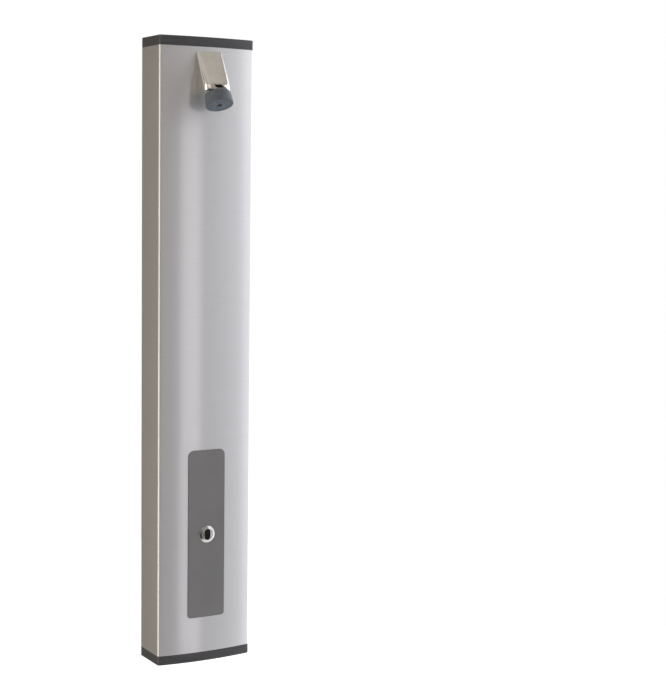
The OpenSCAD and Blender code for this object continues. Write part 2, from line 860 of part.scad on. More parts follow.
module solenoid_bonnet() {
    color(brass) at_solenoid(chamber_y + diaphragm_t) difference() {
        cylinder(r = bonnet_r, h = bonnet_t);
        translate([0, 0, -past]) cylinder(r = 15, h = 3.4 + past);
        cylinder(r = 5.55, h = 10);
        at_bonnet_screws() translate([0, 0, -past]) cylinder(r = 1.8, h = 10);
    }
}

module bonnet_screws() {
    color("#9a9a9c") at_solenoid(bonnet_y) at_bonnet_screws() {
        translate([0, 0, -15]) cylinder(r = 1.5, h = 15);
        difference() {
            cylinder(r = 2.7, h = 2.4);
            translate([0, 0, 1]) hexagon(2.5, 2);
        }
    }
}

// Stainless tube that guides the plunger, with the fixed core in its closed end
module core_tube() {
    color("#c8c8c6") at_solenoid(0) difference() {
        union() {
            translate([0, 0, bonnet_y - 2.9]) cylinder(r = 5.5, h = core_end_y - bonnet_y + 2.9);
            translate([0, 0, bonnet_y]) cylinder(r = 8, h = 1.8);
        }
        translate([0, 0, bonnet_y - 4]) cylinder(r = plunger_r + 0.08, h = core_plug_y - bonnet_y + 4);
    }
}

// Sliding iron core: it lifts off the pilot hole when the coil is energised
module plunger() {
    color("#8f9194") at_solenoid(plunger_tip_y) difference() {
        cylinder(r = plunger_r, h = plunger_len);
        translate([0, 0, plunger_len - 8]) cylinder(r = 2.8, h = 9);
    }
}

// Return spring in the plunger's end, as its outer sleeve
module plunger_spring() {
    base = plunger_tip_y + plunger_len - 8;
    color("#a0a2a4") at_solenoid(base) ring(2.5, 1.9, core_plug_y - base);
}

module solenoid_coil() {
    color("#27272a") at_solenoid(bonnet_y + 1.8) difference() {
        union() {
            cylinder(r = 12.5, h = 16);
            translate([8, -7, 2]) cube([9, 14, 11]);
        }
        translate([0, 0, -past]) cylinder(r = 5.55, h = 20);
    }
}

module coil_nut() {
    color("#9a9a9c") at_solenoid(bonnet_y + 17.8) difference() {
        hexagon(14, 4);
        translate([0, 0, -past]) cylinder(r = 5.53, h = 6);
    }
}

// A cable laid in straight runs, round at every turn
module cable(points) {
    for (k = [1 : len(points) - 1]) {
        run = points[k] - points[k - 1];
        yaw = atan2(run[1], run[0]);
        pitch = acos(run[2] / norm(run));
        translate(points[k - 1]) rotate([0, pitch, yaw]) cylinder(r = cable_r, h = norm(run));
        if (k < len(points) - 1) translate(points[k]) sphere(r = cable_r);
    }
}

module solenoid_cable() {
    coil_side = -pipe_x + 17;
    d = -(bonnet_y + 9.3);
    color("#1e1e20") cable([
        [coil_side, d, solenoid_z], [-28, d, solenoid_z], [-28, gland_y, solenoid_z],
        [-28, gland_y, -328], [gland_xs[1], gland_y, -328], [gland_xs[1], gland_y, box_z + box_h - 4]]);
}

module sensor_cable() {
    color("#1e1e20") cable([
        [0, fascia_y + 22, sensor_z], [0, gland_y, sensor_z], [gland_xs[0], gland_y, sensor_z],
        [gland_xs[0], gland_y, box_z + box_h - 4]]);
}

// Control box

// Places children at the four screw bosses, local +Z to the front from the box's floor
module at_box_bosses() {
    for (sx = [-1, 1], sz = [-1, 1])
        translate([box_mid_x + sx * (box_w / 2 - box_boss_in), -plate_t,
                   box_z + box_h / 2 + sz * (box_h / 2 - box_boss_in)]) to_front() children();
}

// Open box with its glands moulded on and pillars for the lid and the board
module control_box() {
    color("#3a3d40") difference() {
        union() {
            difference() {
                translate([box_x, -plate_t - box_d, box_z]) cube([box_w, box_d, box_h]);
                translate([box_x + box_wall, -plate_t - box_d - past, box_z + box_wall])
                    cube([box_w - 2 * box_wall, box_d - box_wall + past, box_h - 2 * box_wall]);
            }
            at_box_bosses() cylinder(r = 4.5, h = box_d);
            for (x = gland_xs) translate([x, gland_y, box_z + box_h - 1]) hexagon(12, 9);
            for (sx = [-1, 1], z = [-434, -404])
                translate([box_mid_x + sx * 15, -plate_t - 1, z]) to_front() cylinder(r = 3, h = 8);
        }
        for (x = gland_xs) translate([x, gland_y, box_z + box_h - 10]) cylinder(r = 2.05, h = 30);
        at_box_bosses() translate([0, 0, box_d - 14]) cylinder(r = 1.45, h = 15);
    }
}

module box_lid() {
    color("#44474a") difference() {
        translate([box_x, -plate_t - box_d - 3, box_z]) cube([box_w, 3, box_h]);
        at_box_bosses() cylinder(r = 1.7, h = box_d + 5);
    }
}

module box_screws() {
    color("#9a9a9c") at_box_bosses() translate([0, 0, box_d + 3]) {
        translate([0, 0, -14]) cylinder(r = 1.4, h = 14);
        difference() {
            cylinder(r = 2.8, h = 2);
            translate([0, 0, 1]) hexagon(2, 2);
        }
    }
}

// Places children at the four cells, standing upright
module at_cells() {
    for (sx = [-1, 1], y = [-14, -30]) translate([box_mid_x + sx * 7.9, y, box_z + 6]) children();
}

module battery_holder() {
    color("#1f1f21") difference() {
        translate([box_mid_x - 17.5, -32, box_z + 3]) cube([35, 27, 58]);
        at_cells() cylinder(r = cell_r + 0.1, h = 52);
    }
}

module battery_cells() {
    color("#6d7f8f") at_cells() {
        translate([0, 0, 0.2]) cylinder(r = cell_r, h = cell_h - 1.2);
        translate([0, 0, 0.2]) cylinder(r = 2.7, h = cell_h);
    }
}

// Control board with its capacitor, relay and connectors
module circuit_board() {
    board_y = -plate_t - 9;
    color("#2f5f3f") translate([box_mid_x - 17.5, board_y - 1.6, -438]) cube([35, 1.6, 38]);
    color("#303033") {
        translate([box_mid_x - 16, board_y - 13, -418]) cube([12, 11.5, 10]);
        translate([box_mid_x + 8, board_y - 1.5, -413]) to_front() cylinder(r = 4, h = 12);
        translate([box_mid_x - 6, board_y - 9.5, -435]) cube([22, 8, 7]);
    }
}

casing();
top_end_cap();
bottom_end_cap();
cap_screws();
locking_screws();
back_plate();
hanging_bracket();
lower_bracket();
fascia_plate();
fascia_pad();
sensor_bezel();
sensor_window();
sensor_module();
sensor_locknut();
head_body();
head_gasket();
head_tail();
clamp_plate();
head_locknut();
head_fixing_screws();
flow_regulator();
ball_seal();
socket_ring();
swivel_ball();
spray_shell();
spray_face();
face_screw();
tail_elbow();
union_nut();
union_washer();
compression_nuts();
olives();
riser_pipe();
pipe_clips();
clip_screws();
inlet_elbow();
isolating_valve_body();
ball_retainer();
valve_seats();
isolating_ball();
isolating_spindle();
gland_nut();
inlet_filter();
solenoid_body();
valve_diaphragm();
solenoid_bonnet();
bonnet_screws();
core_tube();
plunger();
plunger_spring();
solenoid_coil();
coil_nut();
solenoid_cable();
control_box();
box_lid();
box_screws();
battery_holder();
battery_cells();
circuit_board();
sensor_cable();
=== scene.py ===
# %% [markdown]
# # A sensor shower panel
# The object is a slim panel for a shower wall. An aluminium extrusion with a bowed front stands
# between two moulded caps. A chrome head with a grey spray bell hangs near the top, and a grey
# plate low on the front carries an infrared sensor. This lesson loads the exact CAD model as a
# frame, then makes the parts that catch the light again as fine numpy surfaces, and gives every
# part the finish that its real material has. All lengths are millimetres until a mesh is made.

# %% Load the frame
import json
import math
import bmesh
import bpy
import numpy as np
from mathutils import Matrix, Vector


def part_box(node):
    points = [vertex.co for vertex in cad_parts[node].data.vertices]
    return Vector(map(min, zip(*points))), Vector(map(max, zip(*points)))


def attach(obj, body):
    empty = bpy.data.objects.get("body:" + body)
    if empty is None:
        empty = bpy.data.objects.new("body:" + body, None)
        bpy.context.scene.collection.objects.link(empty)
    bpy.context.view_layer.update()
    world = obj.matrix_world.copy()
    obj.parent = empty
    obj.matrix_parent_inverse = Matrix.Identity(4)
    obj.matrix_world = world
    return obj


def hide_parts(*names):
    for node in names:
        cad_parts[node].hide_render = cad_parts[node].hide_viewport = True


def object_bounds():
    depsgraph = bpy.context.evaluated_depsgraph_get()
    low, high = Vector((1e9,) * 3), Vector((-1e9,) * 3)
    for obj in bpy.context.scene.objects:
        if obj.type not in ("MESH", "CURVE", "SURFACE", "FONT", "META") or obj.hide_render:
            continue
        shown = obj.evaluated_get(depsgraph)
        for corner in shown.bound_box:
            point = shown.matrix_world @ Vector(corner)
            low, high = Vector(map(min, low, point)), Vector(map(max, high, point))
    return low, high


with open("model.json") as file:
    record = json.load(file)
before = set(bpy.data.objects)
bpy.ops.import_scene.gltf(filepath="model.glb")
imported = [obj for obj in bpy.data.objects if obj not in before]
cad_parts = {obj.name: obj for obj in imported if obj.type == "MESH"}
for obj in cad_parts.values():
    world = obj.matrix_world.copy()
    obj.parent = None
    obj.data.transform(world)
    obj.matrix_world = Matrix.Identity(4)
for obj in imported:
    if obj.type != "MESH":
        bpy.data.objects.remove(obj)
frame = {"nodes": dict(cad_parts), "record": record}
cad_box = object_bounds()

nodes = frame["nodes"]


# %% [markdown]
# ## Measures
# The panel's section is a flat back, two straight sides and a front that is one large circle, with
# a small circle rounding each front corner. The CAD box of the casing gives the width and the depth.
# The bow's radius follows from its half width and its rise: r = (a * a + s * s) / (2 * s).

# %% Measures of the section
MM = 0.001


def box_mm(name):
    """The lowest and highest corner of a CAD node, in millimetres, as two arrays."""
    lo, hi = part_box(name)
    return np.array(lo) / MM, np.array(hi) / MM


casing_lo, casing_hi = box_mm("casing")
half_w = (casing_hi[0] - casing_lo[0]) / 2
side_depth, corner_r, wall = 80.2, 5.0, 2.5
bow_rise = -casing_lo[1] - side_depth
bow_r = (half_w ** 2 + bow_rise ** 2) / (2 * bow_rise)
bow_cy = bow_r - side_depth - bow_rise
corner_x = half_w - corner_r
corner_y = bow_cy - math.sqrt((bow_r - corner_r) ** 2 - corner_x ** 2)
print(f"section {2 * half_w:.1f} by {-casing_lo[1]:.1f} mm, bow radius {bow_r:.1f} mm")

# %% [markdown]
# ## From arrays to a mesh
# Every new piece is a grid of points, a function of two parameters worked out for the whole grid at
# once. One function joins neighbours with four-sided faces, and can close the grid on itself in
# either direction. Another tells by the sign of the enclosed volume whether the faces point inwards.

# %% Grid faces


def grid_faces(rows, cols, wrap_rows=False, wrap_cols=False):
    """Four corner numbers for each cell of a rows by cols grid. A wrapped side joins its last line
    to its first."""
    r = np.arange(rows if wrap_rows else rows - 1)
    c = np.arange(cols if wrap_cols else cols - 1)
    r, c = np.meshgrid(r, c, indexing="ij")
    r2, c2 = (r + 1) % rows, (c + 1) % cols
    return np.stack([r * cols + c, r * cols + c2, r2 * cols + c2, r2 * cols + c], -1).reshape(-1, 4)


def inside_out(points, quads):
    """True where the signed volume is negative. Six times that volume is the sum of the triple
    products of each face's two triangles, about the mean of the points."""
    points = points.reshape(-1, 3)
    points = points - points.mean(axis=0)
    a, b, c, d = (points[quads[:, k]] for k in range(4))
    return float(np.sum(a * np.cross(b, c)) + np.sum(a * np.cross(c, d))) < 0


print("a grid of 3 by 4 points, closed across, has", len(grid_faces(3, 4, wrap_cols=True)), "faces")

# %% [markdown]
# The mesh is made in metres. Points that meet at a pole or a seam are merged, and inward faces are
# turned round. Edges sharper than an angle stay crisp and the rest is shaded smooth. A surface that
# knows its exact normals, such as the head's, brings them along instead.

# %% Mesh object
crisp_angle, merge_within = 35.0, 1e-7


def put(name, data):
    """A new object that shows some data, linked to the scene."""
    obj = bpy.data.objects.new(name, data)
    bpy.context.scene.collection.objects.link(obj)
    return obj


def mesh_object(name, points, quads, ends=(), normals=None):
    """A mesh object from points in millimetres and their faces. ends are extra faces with more
    corners. Edges sharper than the crisp angle stay crisp, and the rest is shaded smooth, or by the
    normals where each point has its own."""
    points = np.asarray(points, float).reshape(-1, 3)
    if inside_out(points, quads):
        quads, ends = quads[:, ::-1], [e[::-1] for e in ends]
    mesh = bpy.data.meshes.new(name)
    mesh.from_pydata((points * MM).tolist(), [], quads.tolist() + [list(e) for e in ends])
    if normals is not None:
        own = mesh.attributes.new("own_normal", "FLOAT_VECTOR", "POINT")
        own.data.foreach_set("vector", np.asarray(normals, np.float32).ravel())
    work = bmesh.new()
    work.from_mesh(mesh)
    bmesh.ops.remove_doubles(work, verts=work.verts, dist=merge_within)
    if ends and normals is None:
        bmesh.ops.recalc_face_normals(work, faces=work.faces)
    work.to_mesh(mesh)
    work.free()
    mesh.shade_smooth()
    if normals is None:
        mesh.set_sharp_from_angle(angle=math.radians(crisp_angle))
    else:
        kept = np.empty(3 * len(mesh.vertices), np.float32)
        own = mesh.attributes["own_normal"]
        own.data.foreach_get("vector", kept)
        mesh.attributes.remove(own)
        mesh.normals_split_custom_set_from_vertices(kept.reshape(-1, 3).tolist())
    print(f"{name}: {len(mesh.vertices)} points, {len(mesh.polygons)} faces")
    return put(name, mesh)


# %% [markdown]
# Real edges are never quite sharp: a moulding, a plated casting and a machined ring each have a
# small radius that catches a line of light. A profile is drawn with sharp corners, and this function
# rounds each corner by its own radius with a short arc.

# %% Rounded profiles


def rounded(corners, radii, steps=5):
    """The profile with each corner replaced by an arc that touches both of its sides. The arc's ends
    lie r * tan(turn / 2) from the corner, and its points follow the circle between them."""
    corners = np.asarray(corners, float)
    line = []
    for k, r in enumerate(radii):
        p = corners[k]
        if r == 0 or k in (0, len(corners) - 1):
            line.append(p)
            continue
        a = corners[k - 1] - p
        b = corners[k + 1] - p
        a, b = a / np.hypot(*a), b / np.hypot(*b)
        turn = math.pi - math.acos(float(np.clip(a @ b, -1, 1)))
        centre = p + (a + b) / np.hypot(*(a + b)) * r / math.cos(turn / 2)
        start, end = p + a * r * math.tan(turn / 2), p + b * r * math.tan(turn / 2)
        t = np.linspace(0, 1, steps)[:, None]
        chord = (start - centre) * np.sin((1 - t) * turn) + (end - centre) * np.sin(t * turn)
        line.extend(centre + chord / math.sin(turn))
    return np.array(line)


print("one rounded corner:", len(rounded([(0, 1), (0, 0), (1, 0)], (0, 0.2, 0))), "points")

# %% [markdown]
# ## Camera
# The photo was taken from the left and from a little above the panel's middle, with a long lens. The
# camera was solved from the panel's straight edges, so the same place and lens put each edge back
# where the photo has it.

# %% Camera
eye = Vector((-1.3227, -2.8122, 0.3071))
right = Vector((0.8626, -0.5057, 0.0135)).normalized()
forward = Vector((0.5045, 0.8579, -0.0972)).normalized()
up = right.cross(forward).normalized()
right = forward.cross(up)
lens_px, long_side_px, sensor_mm = 1583.0, 700, 36.0
camera_data = bpy.data.cameras.new("camera")
camera_data.sensor_width = sensor_mm
camera_data.lens = lens_px / long_side_px * sensor_mm
camera_data.clip_start, camera_data.clip_end = 0.05, 50
camera = put("camera", camera_data)
turned_to = Matrix((right, up, -forward)).transposed().to_4x4()
camera.matrix_world = Matrix.Translation(eye) @ turned_to
bpy.context.scene.camera = camera
print(f"camera: {camera_data.lens:.1f} mm lens, {eye.length:.2f} m away")

# %% [markdown]
# ## The casing
# The casing is extruded aluminium: one section, pressed through a die and cut to length. So it is a
# profile carried along a path too. Here the path is the section's line, from the left return on the
# wall round the front to the right return, and the profile is the wall's thickness times the height.

# %% The section as a line
side_points, arc_points, bow_points, back_points = 9, 15, 181, 41


def section_line(inset, closed=False):
    """Points of the section drawn in by an inset. From the left rear they follow the left side, the
    corner arc, the bow, the other arc and the right side. The same count for every inset, so that
    two insets can be joined point by point. A closed line goes on along the back."""
    side_y = np.linspace(-inset, corner_y, side_points)[:-1]
    turn = math.atan2(corner_x, -(corner_y - bow_cy))
    arc = np.linspace(math.pi / 2, turn, arc_points)[:-1]
    bow = np.linspace(turn, -turn, bow_points)
    small, large = corner_r - inset, bow_r - inset
    left = np.stack([np.full_like(side_y, -half_w + inset), side_y], -1)
    corner = np.stack([-corner_x - small * np.sin(arc), corner_y - small * np.cos(arc)], -1)
    front = np.stack([-large * np.sin(bow), bow_cy - large * np.cos(bow)], -1)
    right_half = np.concatenate([left, corner])[::-1] * [-1, 1]
    line = np.concatenate([left, corner, front, right_half])
    if closed:
        back_x = np.linspace(half_w - inset, -half_w + inset, back_points)[1:-1]
        line = np.concatenate([line, np.stack([back_x, np.full_like(back_x, -inset)], -1)])
    return line


def at_height(line, z):
    """A flat line of x and y, lifted to a height."""
    return np.column_stack([line, np.full(len(line), z)])


print("section line:", len(section_line(0.0)), "points, closed", len(section_line(0.0, True)))

# %% [markdown]
# The two returns turn inwards behind the panel, where the casing hooks over its bracket. They join
# the section's line at both ends. The wall profile runs up the outside, over the top end and down
# the inside, so that the shell is closed.

# %% Casing
return_w, return_points, level_count = 14.0, 5, 25


def casing_line(inset):
    """The section's line with a return of the same wall at each end."""
    x = np.linspace(half_w - return_w, half_w - inset, return_points)[:-1]
    end = np.stack([x, np.full_like(x, -inset)], -1)
    return np.concatenate([end * [-1, 1], section_line(inset), end[::-1]])


end_z = float(casing_hi[2])
levels = np.linspace(-end_z, end_z, level_count)
outer, inner = casing_line(0.0), casing_line(wall)
shell = np.array([at_height(outer, z) for z in levels] + [at_height(inner, z) for z in levels[::-1]])
rows, cols = shell.shape[:2]
left_end, right_end = range(0, rows * cols, cols), range(cols - 1, rows * cols, cols)
casing = mesh_object("casing_skin", shell, grid_faces(rows, cols, wrap_rows=True),
                     ends=(left_end, right_end))
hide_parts("casing")
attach(casing, "panel")

# %% [markdown]
# ## End caps
# Each cap is an injection moulding that plugs into the extrusion. Its edge is rounded by about a
# millimetre, which draws a thin line of light round the end of the panel. The cap is a profile of
# inset and height carried round the closed section, and its flat top shrinks to one point in the
# middle.

# %% Cap surface
cap_h = float(box_mm("top_end_cap")[1][2]) - end_z
cap_skin, edge_r, joint_r = 3.0, 1.3, 0.25
middle_xy = (0.0, -42.0)


def cap_grid():
    """Rings of the cap, each the closed section at an inset and a height above the joint. The first
    and last ring shrink to the middle."""
    profile = rounded([(cap_skin, cap_h - cap_skin), (cap_skin, 0), (0, 0), (0, cap_h),
                       (edge_r + cap_skin, cap_h)], (0, 0, joint_r, edge_r, 0), steps=7)
    rings = [at_height(section_line(inset, closed=True), z) for inset, z in profile]
    first, last = rings[0].copy(), rings[-1].copy()
    first[:, :2] = last[:, :2] = middle_xy
    return np.array([first] + rings + [last])


print(f"cap: {cap_h:.1f} mm high, grid", cap_grid().shape[:2])

# %% [markdown]
# Countersunk screws hold each cap, and a seat is cut by a tool of its own shape. The cutter is a
# cone that stands on the seat, one surface of revolution. The Boolean modifier subtracts it, and the
# result is baked into the cap's mesh.

# %% Cutting tools


def turned(r, z, steps, place=None):
    """A profile turned round the vertical axis: x = r cos t, y = r sin t. r and z are columns, or r
    is a grid where the radius changes round the axis too. The place is a 4 by 4 matrix in
    millimetres that moves the points where they belong."""
    t = np.linspace(0, 2 * math.pi, steps, endpoint=False)
    points = np.stack([r * np.cos(t), r * np.sin(t), np.broadcast_to(z, (len(z), steps))], -1)
    return points if place is None else points @ place[:3, :3].T + place[:3, 3]


def cut(obj, tool):
    """Subtracts a tool from a piece and keeps the result as the piece's mesh. The tool is
    deleted."""
    step = obj.modifiers.new("cut", "BOOLEAN")
    step.operation, step.solver, step.object = "DIFFERENCE", "EXACT", tool
    graph = bpy.context.evaluated_depsgraph_get()
    done = bpy.data.meshes.new_from_object(obj.evaluated_get(graph))
    obj.modifiers.clear()
    obj.data = done
    done.set_sharp_from_angle(angle=math.radians(crisp_angle))
    bpy.data.objects.remove(tool)


def cutter(x, y, profile, steps=48):
    """A tool at x and y: its profile of radius and height turned round the vertical."""
    place = np.eye(4)
    place[:3, 3] = (x, y, 0)
    r, z = np.hsplit(np.array(profile, float), 2)
    quads = grid_faces(len(z), steps, wrap_cols=True)
    return mesh_object("seat_cutter", turned(r, z, steps, place), quads)


# %% [markdown]
# Both caps are one surface: the bottom cap has its heights negated. Four screws hold each cap to the
# extrusion, near its corners. The bottom cap has two more, which lock the panel to its bracket.

# %% Both caps
# A seat is the radius of its hole, the radius of its mouth and its depth.
port_x, port_ys, port_seat = half_w - 6.2, (-7.5, -68.0), (2.15, 4.25, 2.3)
lock_x, lock_y, lock_seat = 50.0, -28.0, (2.7, 5.05, 2.65)
drill, clear = 4.0, 1.0
grid = cap_grid()
caps = []
for name, up_or_down in (("top_end_cap", 1), ("bottom_end_cap", -1)):
    points = grid.copy()
    points[..., 2] = (points[..., 2] + end_z) * up_or_down
    cap = mesh_object(name + "_moulding", points, grid_faces(*points.shape[:2], wrap_cols=True))
    seats = [(s * port_x, y, port_seat) for s in (-1, 1) for y in port_ys]
    if up_or_down < 0:
        seats += [(s * lock_x, lock_y, lock_seat) for s in (-1, 1)]
    for x, y, (r_low, r_top, depth) in seats:
        face = end_z + cap_h
        seat_z = face - depth
        cone = [(0, seat_z - drill), (r_low, seat_z - drill), (r_low, seat_z), (r_top, face),
                (r_top, face + clear), (0, face + clear)]
        cut(cap, cutter(x, y, [(r, z * up_or_down) for r, z in cone]))
    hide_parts(name)
    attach(cap, "panel")
    caps.append(cap)

# %% [markdown]
# ## Fascia plate
# The grey plate is a thin sheet that is stuck to the bowed front on a dark foam pad, so its edge
# stands just proud and shows a dark line. The surface is drawn between two lines: the round hole
# behind the sensor and the plate's rounded outline. Each point keeps its place seen from the front,
# and its depth follows the bow.

# %% Fascia surface
plate_lo, plate_hi = box_mm("fascia_plate")
plate_half = float(plate_hi[0])
plate_bottom, plate_top = float(plate_lo[2]), float(plate_hi[2])
window_lo, window_hi = box_mm("sensor_window")
sensor_z = float(window_lo[2] + window_hi[2]) / 2
pad_t, plate_t, rim_inset = 0.5, 1.0, 1.2


def bow_y(x, out=0.0):
    """Depth of the bowed front at x, moved outwards by an offset."""
    return bow_cy - np.sqrt((bow_r + out) ** 2 - np.asarray(x) ** 2)


def plate_line(inset, r_top=11.6, r_bottom=5.6, per_side=40, per_arc=12):
    """The plate's outline in x and z, drawn in by an inset: four sides joined by four arcs."""
    corners = ((1, plate_top, r_top, 0), (-1, plate_top, r_top, 1),
               (-1, plate_bottom, r_bottom, 2), (1, plate_bottom, r_bottom, 3))
    arcs = []
    for s, z, r, quarter in corners:
        up_z = 1 if z == plate_top else -1
        t = np.linspace(0, math.pi / 2, per_arc) + quarter * math.pi / 2
        arcs.append(np.stack([s * (plate_half - r) + (r - inset) * np.cos(t),
                              z - up_z * r + (r - inset) * np.sin(t)], -1))
    line = []
    for arc, after in zip(arcs, arcs[1:] + arcs[:1]):
        t = np.linspace(0, 1, per_side)[1:-1, None]
        line += [arc, arc[-1] + (after[0] - arc[-1]) * t]
    return np.concatenate(line)


print(f"plate: {2 * plate_half:.1f} by {plate_top - plate_bottom:.1f} mm, sensor at {sensor_z:.1f}")

# %% [markdown]
# The sheet's surface starts at the hole, runs along the back to the outline, over the small round of
# the edge and along the face to the hole again.

# %% Plate surface


def plate_grid(hole_r=12.2, across=22):
    """Lines from the hole to the outline and back. In x and z a point lies between the hole's circle
    and the outline, and its depth is the bow moved out by the offset of the pad or of the face."""
    outline = plate_line(0.0)
    angle = np.arctan2(outline[:, 1] - sensor_z, outline[:, 0])
    hole = np.stack([hole_r * np.cos(angle), sensor_z + hole_r * np.sin(angle)], -1)
    back, face = pad_t, pad_t + plate_t
    edge = rounded([(0.6, back), (0, back), (0, face), (rim_inset, face)], (0, 0.1, 0.35, 0))
    layers = [(hole, back)] + [(plate_line(i), o) for i, o in edge]
    rim = plate_line(rim_inset)
    layers += [(rim + (hole - rim) * t, face) for t in np.linspace(0, 1, across)[1:]]
    return np.array([np.column_stack([xz[:, 0], bow_y(xz[:, 0], o), xz[:, 1]])
                     for xz, o in layers])


print("plate grid:", plate_grid().shape[:2])

# %% [markdown]
# The grid closes in both directions: round the outline, and from the face down into the hole.

# %% Fascia plate
grid = plate_grid()
quads = grid_faces(*grid.shape[:2], wrap_rows=True, wrap_cols=True)
plate = mesh_object("fascia_sheet", grid, quads)
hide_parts("fascia_plate")
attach(plate, "panel")

# %% [markdown]
# ## Sensor bezel
# The bezel is turned from steel: a flat face, a cone that falls away to a thin rim, and a threaded
# barrel behind it. A slot with round ends is milled through the face for the window. The surface
# starts on the slot's line and opens out to circles, so one grid makes slot, face, cone and barrel.

# %% Bezel surface
bezel_y = -(side_depth + bow_rise + pad_t + plate_t)
slot_half_w, slot_half_h, slot_back, slot_edge = 6.0, 10.5, 2.2, 0.3
bezel_h, bezel_r, rim_h = 3.8, 16.5, 0.9
barrel_r, bore_r, barrel_back = 12.0, 10.9, -20.0


def slot_radius(t, half_w, half_h):
    """Distance from the middle to the edge of an upright slot, in direction t from the x axis. It is
    half_w / |cos t| on the straight sides, and on the round ends it solves the circle about
    (0, half_h - half_w)."""
    lift = half_h - half_w
    c, s = np.abs(np.cos(t)), np.abs(np.sin(t))
    straight = half_w / np.maximum(c, 1e-6)
    ends = lift * s + np.sqrt(np.maximum(half_w ** 2 - (lift * c) ** 2, 0))
    return np.where(straight * s <= lift, straight, ends)


def bezel_grid(steps=256):
    """Rings of the bezel. A ring is a slot or a circle at a height above the plate. Local height
    goes to -y and the ring's plane to x and z."""
    t = np.linspace(0, 2 * math.pi, steps, endpoint=False)
    slot, edge_h = slot_radius(t, slot_half_w, slot_half_h), bezel_h - slot_edge
    rings = [(slot, slot_back), (slot, edge_h - 0.05)]
    for a in np.linspace(0, math.pi / 2, 5):
        grow = slot_edge * (1 - math.cos(a))
        rings.append((slot_radius(t, slot_half_w + grow, slot_half_h + grow),
                      edge_h + slot_edge * math.sin(a)))
    outside = rounded([(10.7, bezel_h), (11.2, bezel_h), (bezel_r - 0.3, rim_h + 0.3),
                       (bezel_r, rim_h), (bezel_r, 0), (barrel_r, 0), (barrel_r, barrel_back),
                       (bore_r, barrel_back), (bore_r, slot_back)],
                      (0, 0.4, 0.15, 0.1, 0, 0, 0, 0, 0), 6)
    rings += [(np.full(steps, r), h) for r, h in outside]
    r = np.array([ring[0] for ring in rings])
    h = np.array([ring[1] for ring in rings])[:, None]
    depth = np.broadcast_to(bezel_y - h, r.shape)
    return np.stack([r * np.cos(t), depth, sensor_z + r * np.sin(t)], -1)


print(f"bezel: {2 * bezel_r:.0f} mm across, {bezel_h:.1f} mm proud of the plate")

# %% [markdown]
# The rings close in both directions: round the axis, and from the slot's back over the face and the
# cone, down the barrel and up its bore to the slot again.

# %% Bezel
grid = bezel_grid()
quads = grid_faces(*grid.shape[:2], wrap_rows=True, wrap_cols=True)
bezel = mesh_object("sensor_ring", grid, quads)
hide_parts("sensor_bezel")
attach(bezel, "panel")

# %% [markdown]
# ## Chrome head
# The head is a brass casting, ground, polished and chrome plated. It is a convex wedge: a tall
# rounded rectangle on the wall side, and a rounded nose in front that the spray hangs from.
# Polishing leaves every edge with a radius of about a millimetre, and chrome shows that radius as a
# bright line. A convex shape with rounded edges is the support map of its corner points: for each
# direction, take the point that lies farthest that way, then step out by the edge radius. The two
# parameters are the direction's two angles.

# %% Corner points of the head
gasket_t, head_edge = 0.8, 1.1
head_lo, head_hi = box_mm("head_body")
head_half, head_top, head_bottom = float(head_hi[0]), float(head_hi[2]), float(head_lo[2])
top_r, bottom_r, collar_y, behind_y = 5.0, 3.0, -89.9, -80.0
nose_c, nose_r, nose_h, nose_tilt = (15.0, -121.9, 497.5), 12.0, 12.9, math.radians(14.4)
nose_bow, nose_barrel = 0.6, 0.25
nose_across, nose_down, foremost = 27, 21, (-98, -94, -90, -86, -82)


def nose_points(u, t):
    """Circles for the nose, drawn in by the edge radius. From side to side, u, their centres follow
    the bow b * (1 - u * u), and from top to bottom, v, their radius shrinks by c * v * v, so the
    nose is a little full."""
    u, v, t = np.meshgrid(u, np.linspace(-1, 1, nose_down), t, indexing="ij")
    r = nose_r - head_edge - nose_barrel * v ** 2
    x = nose_c[0] * u + r * np.cos(t)
    y = r * np.sin(t) - nose_bow * (1 - u ** 2)
    h = nose_h / 2 + v * (nose_h / 2 - head_edge)
    c, s = math.cos(nose_tilt), math.sin(nose_tilt)
    return np.stack([x, nose_c[1] + y * c + h * s, nose_c[2] - y * s + h * c], -1).reshape(-1, 3)


def head_corners():
    """Points of the wedge, drawn in by the edge radius: arcs for the four corners on the wall side,
    full circles at both ends of the nose, and only the foremost points of those between them."""
    t = np.linspace(0, 2 * math.pi, 96, endpoint=False)
    points = []
    for s in (-1, 1):
        for z, r in ((head_top - top_r, top_r), (head_bottom + bottom_r, bottom_r)):
            for y in (collar_y + head_edge, behind_y):
                points.append(np.stack([s * (head_half - r) + (r - head_edge) * np.cos(t),
                                        np.full_like(t, y), z + (r - head_edge) * np.sin(t)], -1))
    points.append(nose_points([-1, 1], t))
    points.append(nose_points(np.linspace(-1, 1, nose_across), np.radians(foremost)))
    return np.concatenate(points)


print("head:", len(head_corners()), "corner points")

# %% [markdown]
# The support map compares every direction with every corner point, a row of directions at a time.
# One point alone would give a ball, since only the step outwards is left.

# %% Support map


def support_map(points, radius, a, b):
    """For each direction d of a sphere whose poles lie on the x axis: the point p with the largest
    p . d, plus radius times d. The surface's normal there is d itself. a runs round the x axis and b
    runs from pole to pole."""
    d = np.stack([np.broadcast_to(np.cos(b)[:, None], (len(b), len(a))),
                  np.sin(b)[:, None] * np.cos(a), np.sin(b)[:, None] * np.sin(a)], -1)
    farthest = np.concatenate([(part @ points.T).argmax(axis=1) for part in d])
    return points[farthest].reshape(d.shape) + radius * d, d


trial = support_map(np.zeros((1, 3)), 2.0, np.arange(6.0), np.arange(3.0))[0]
print("one point gives a ball of radius", round(float(np.linalg.norm(trial, axis=-1).max()), 3))

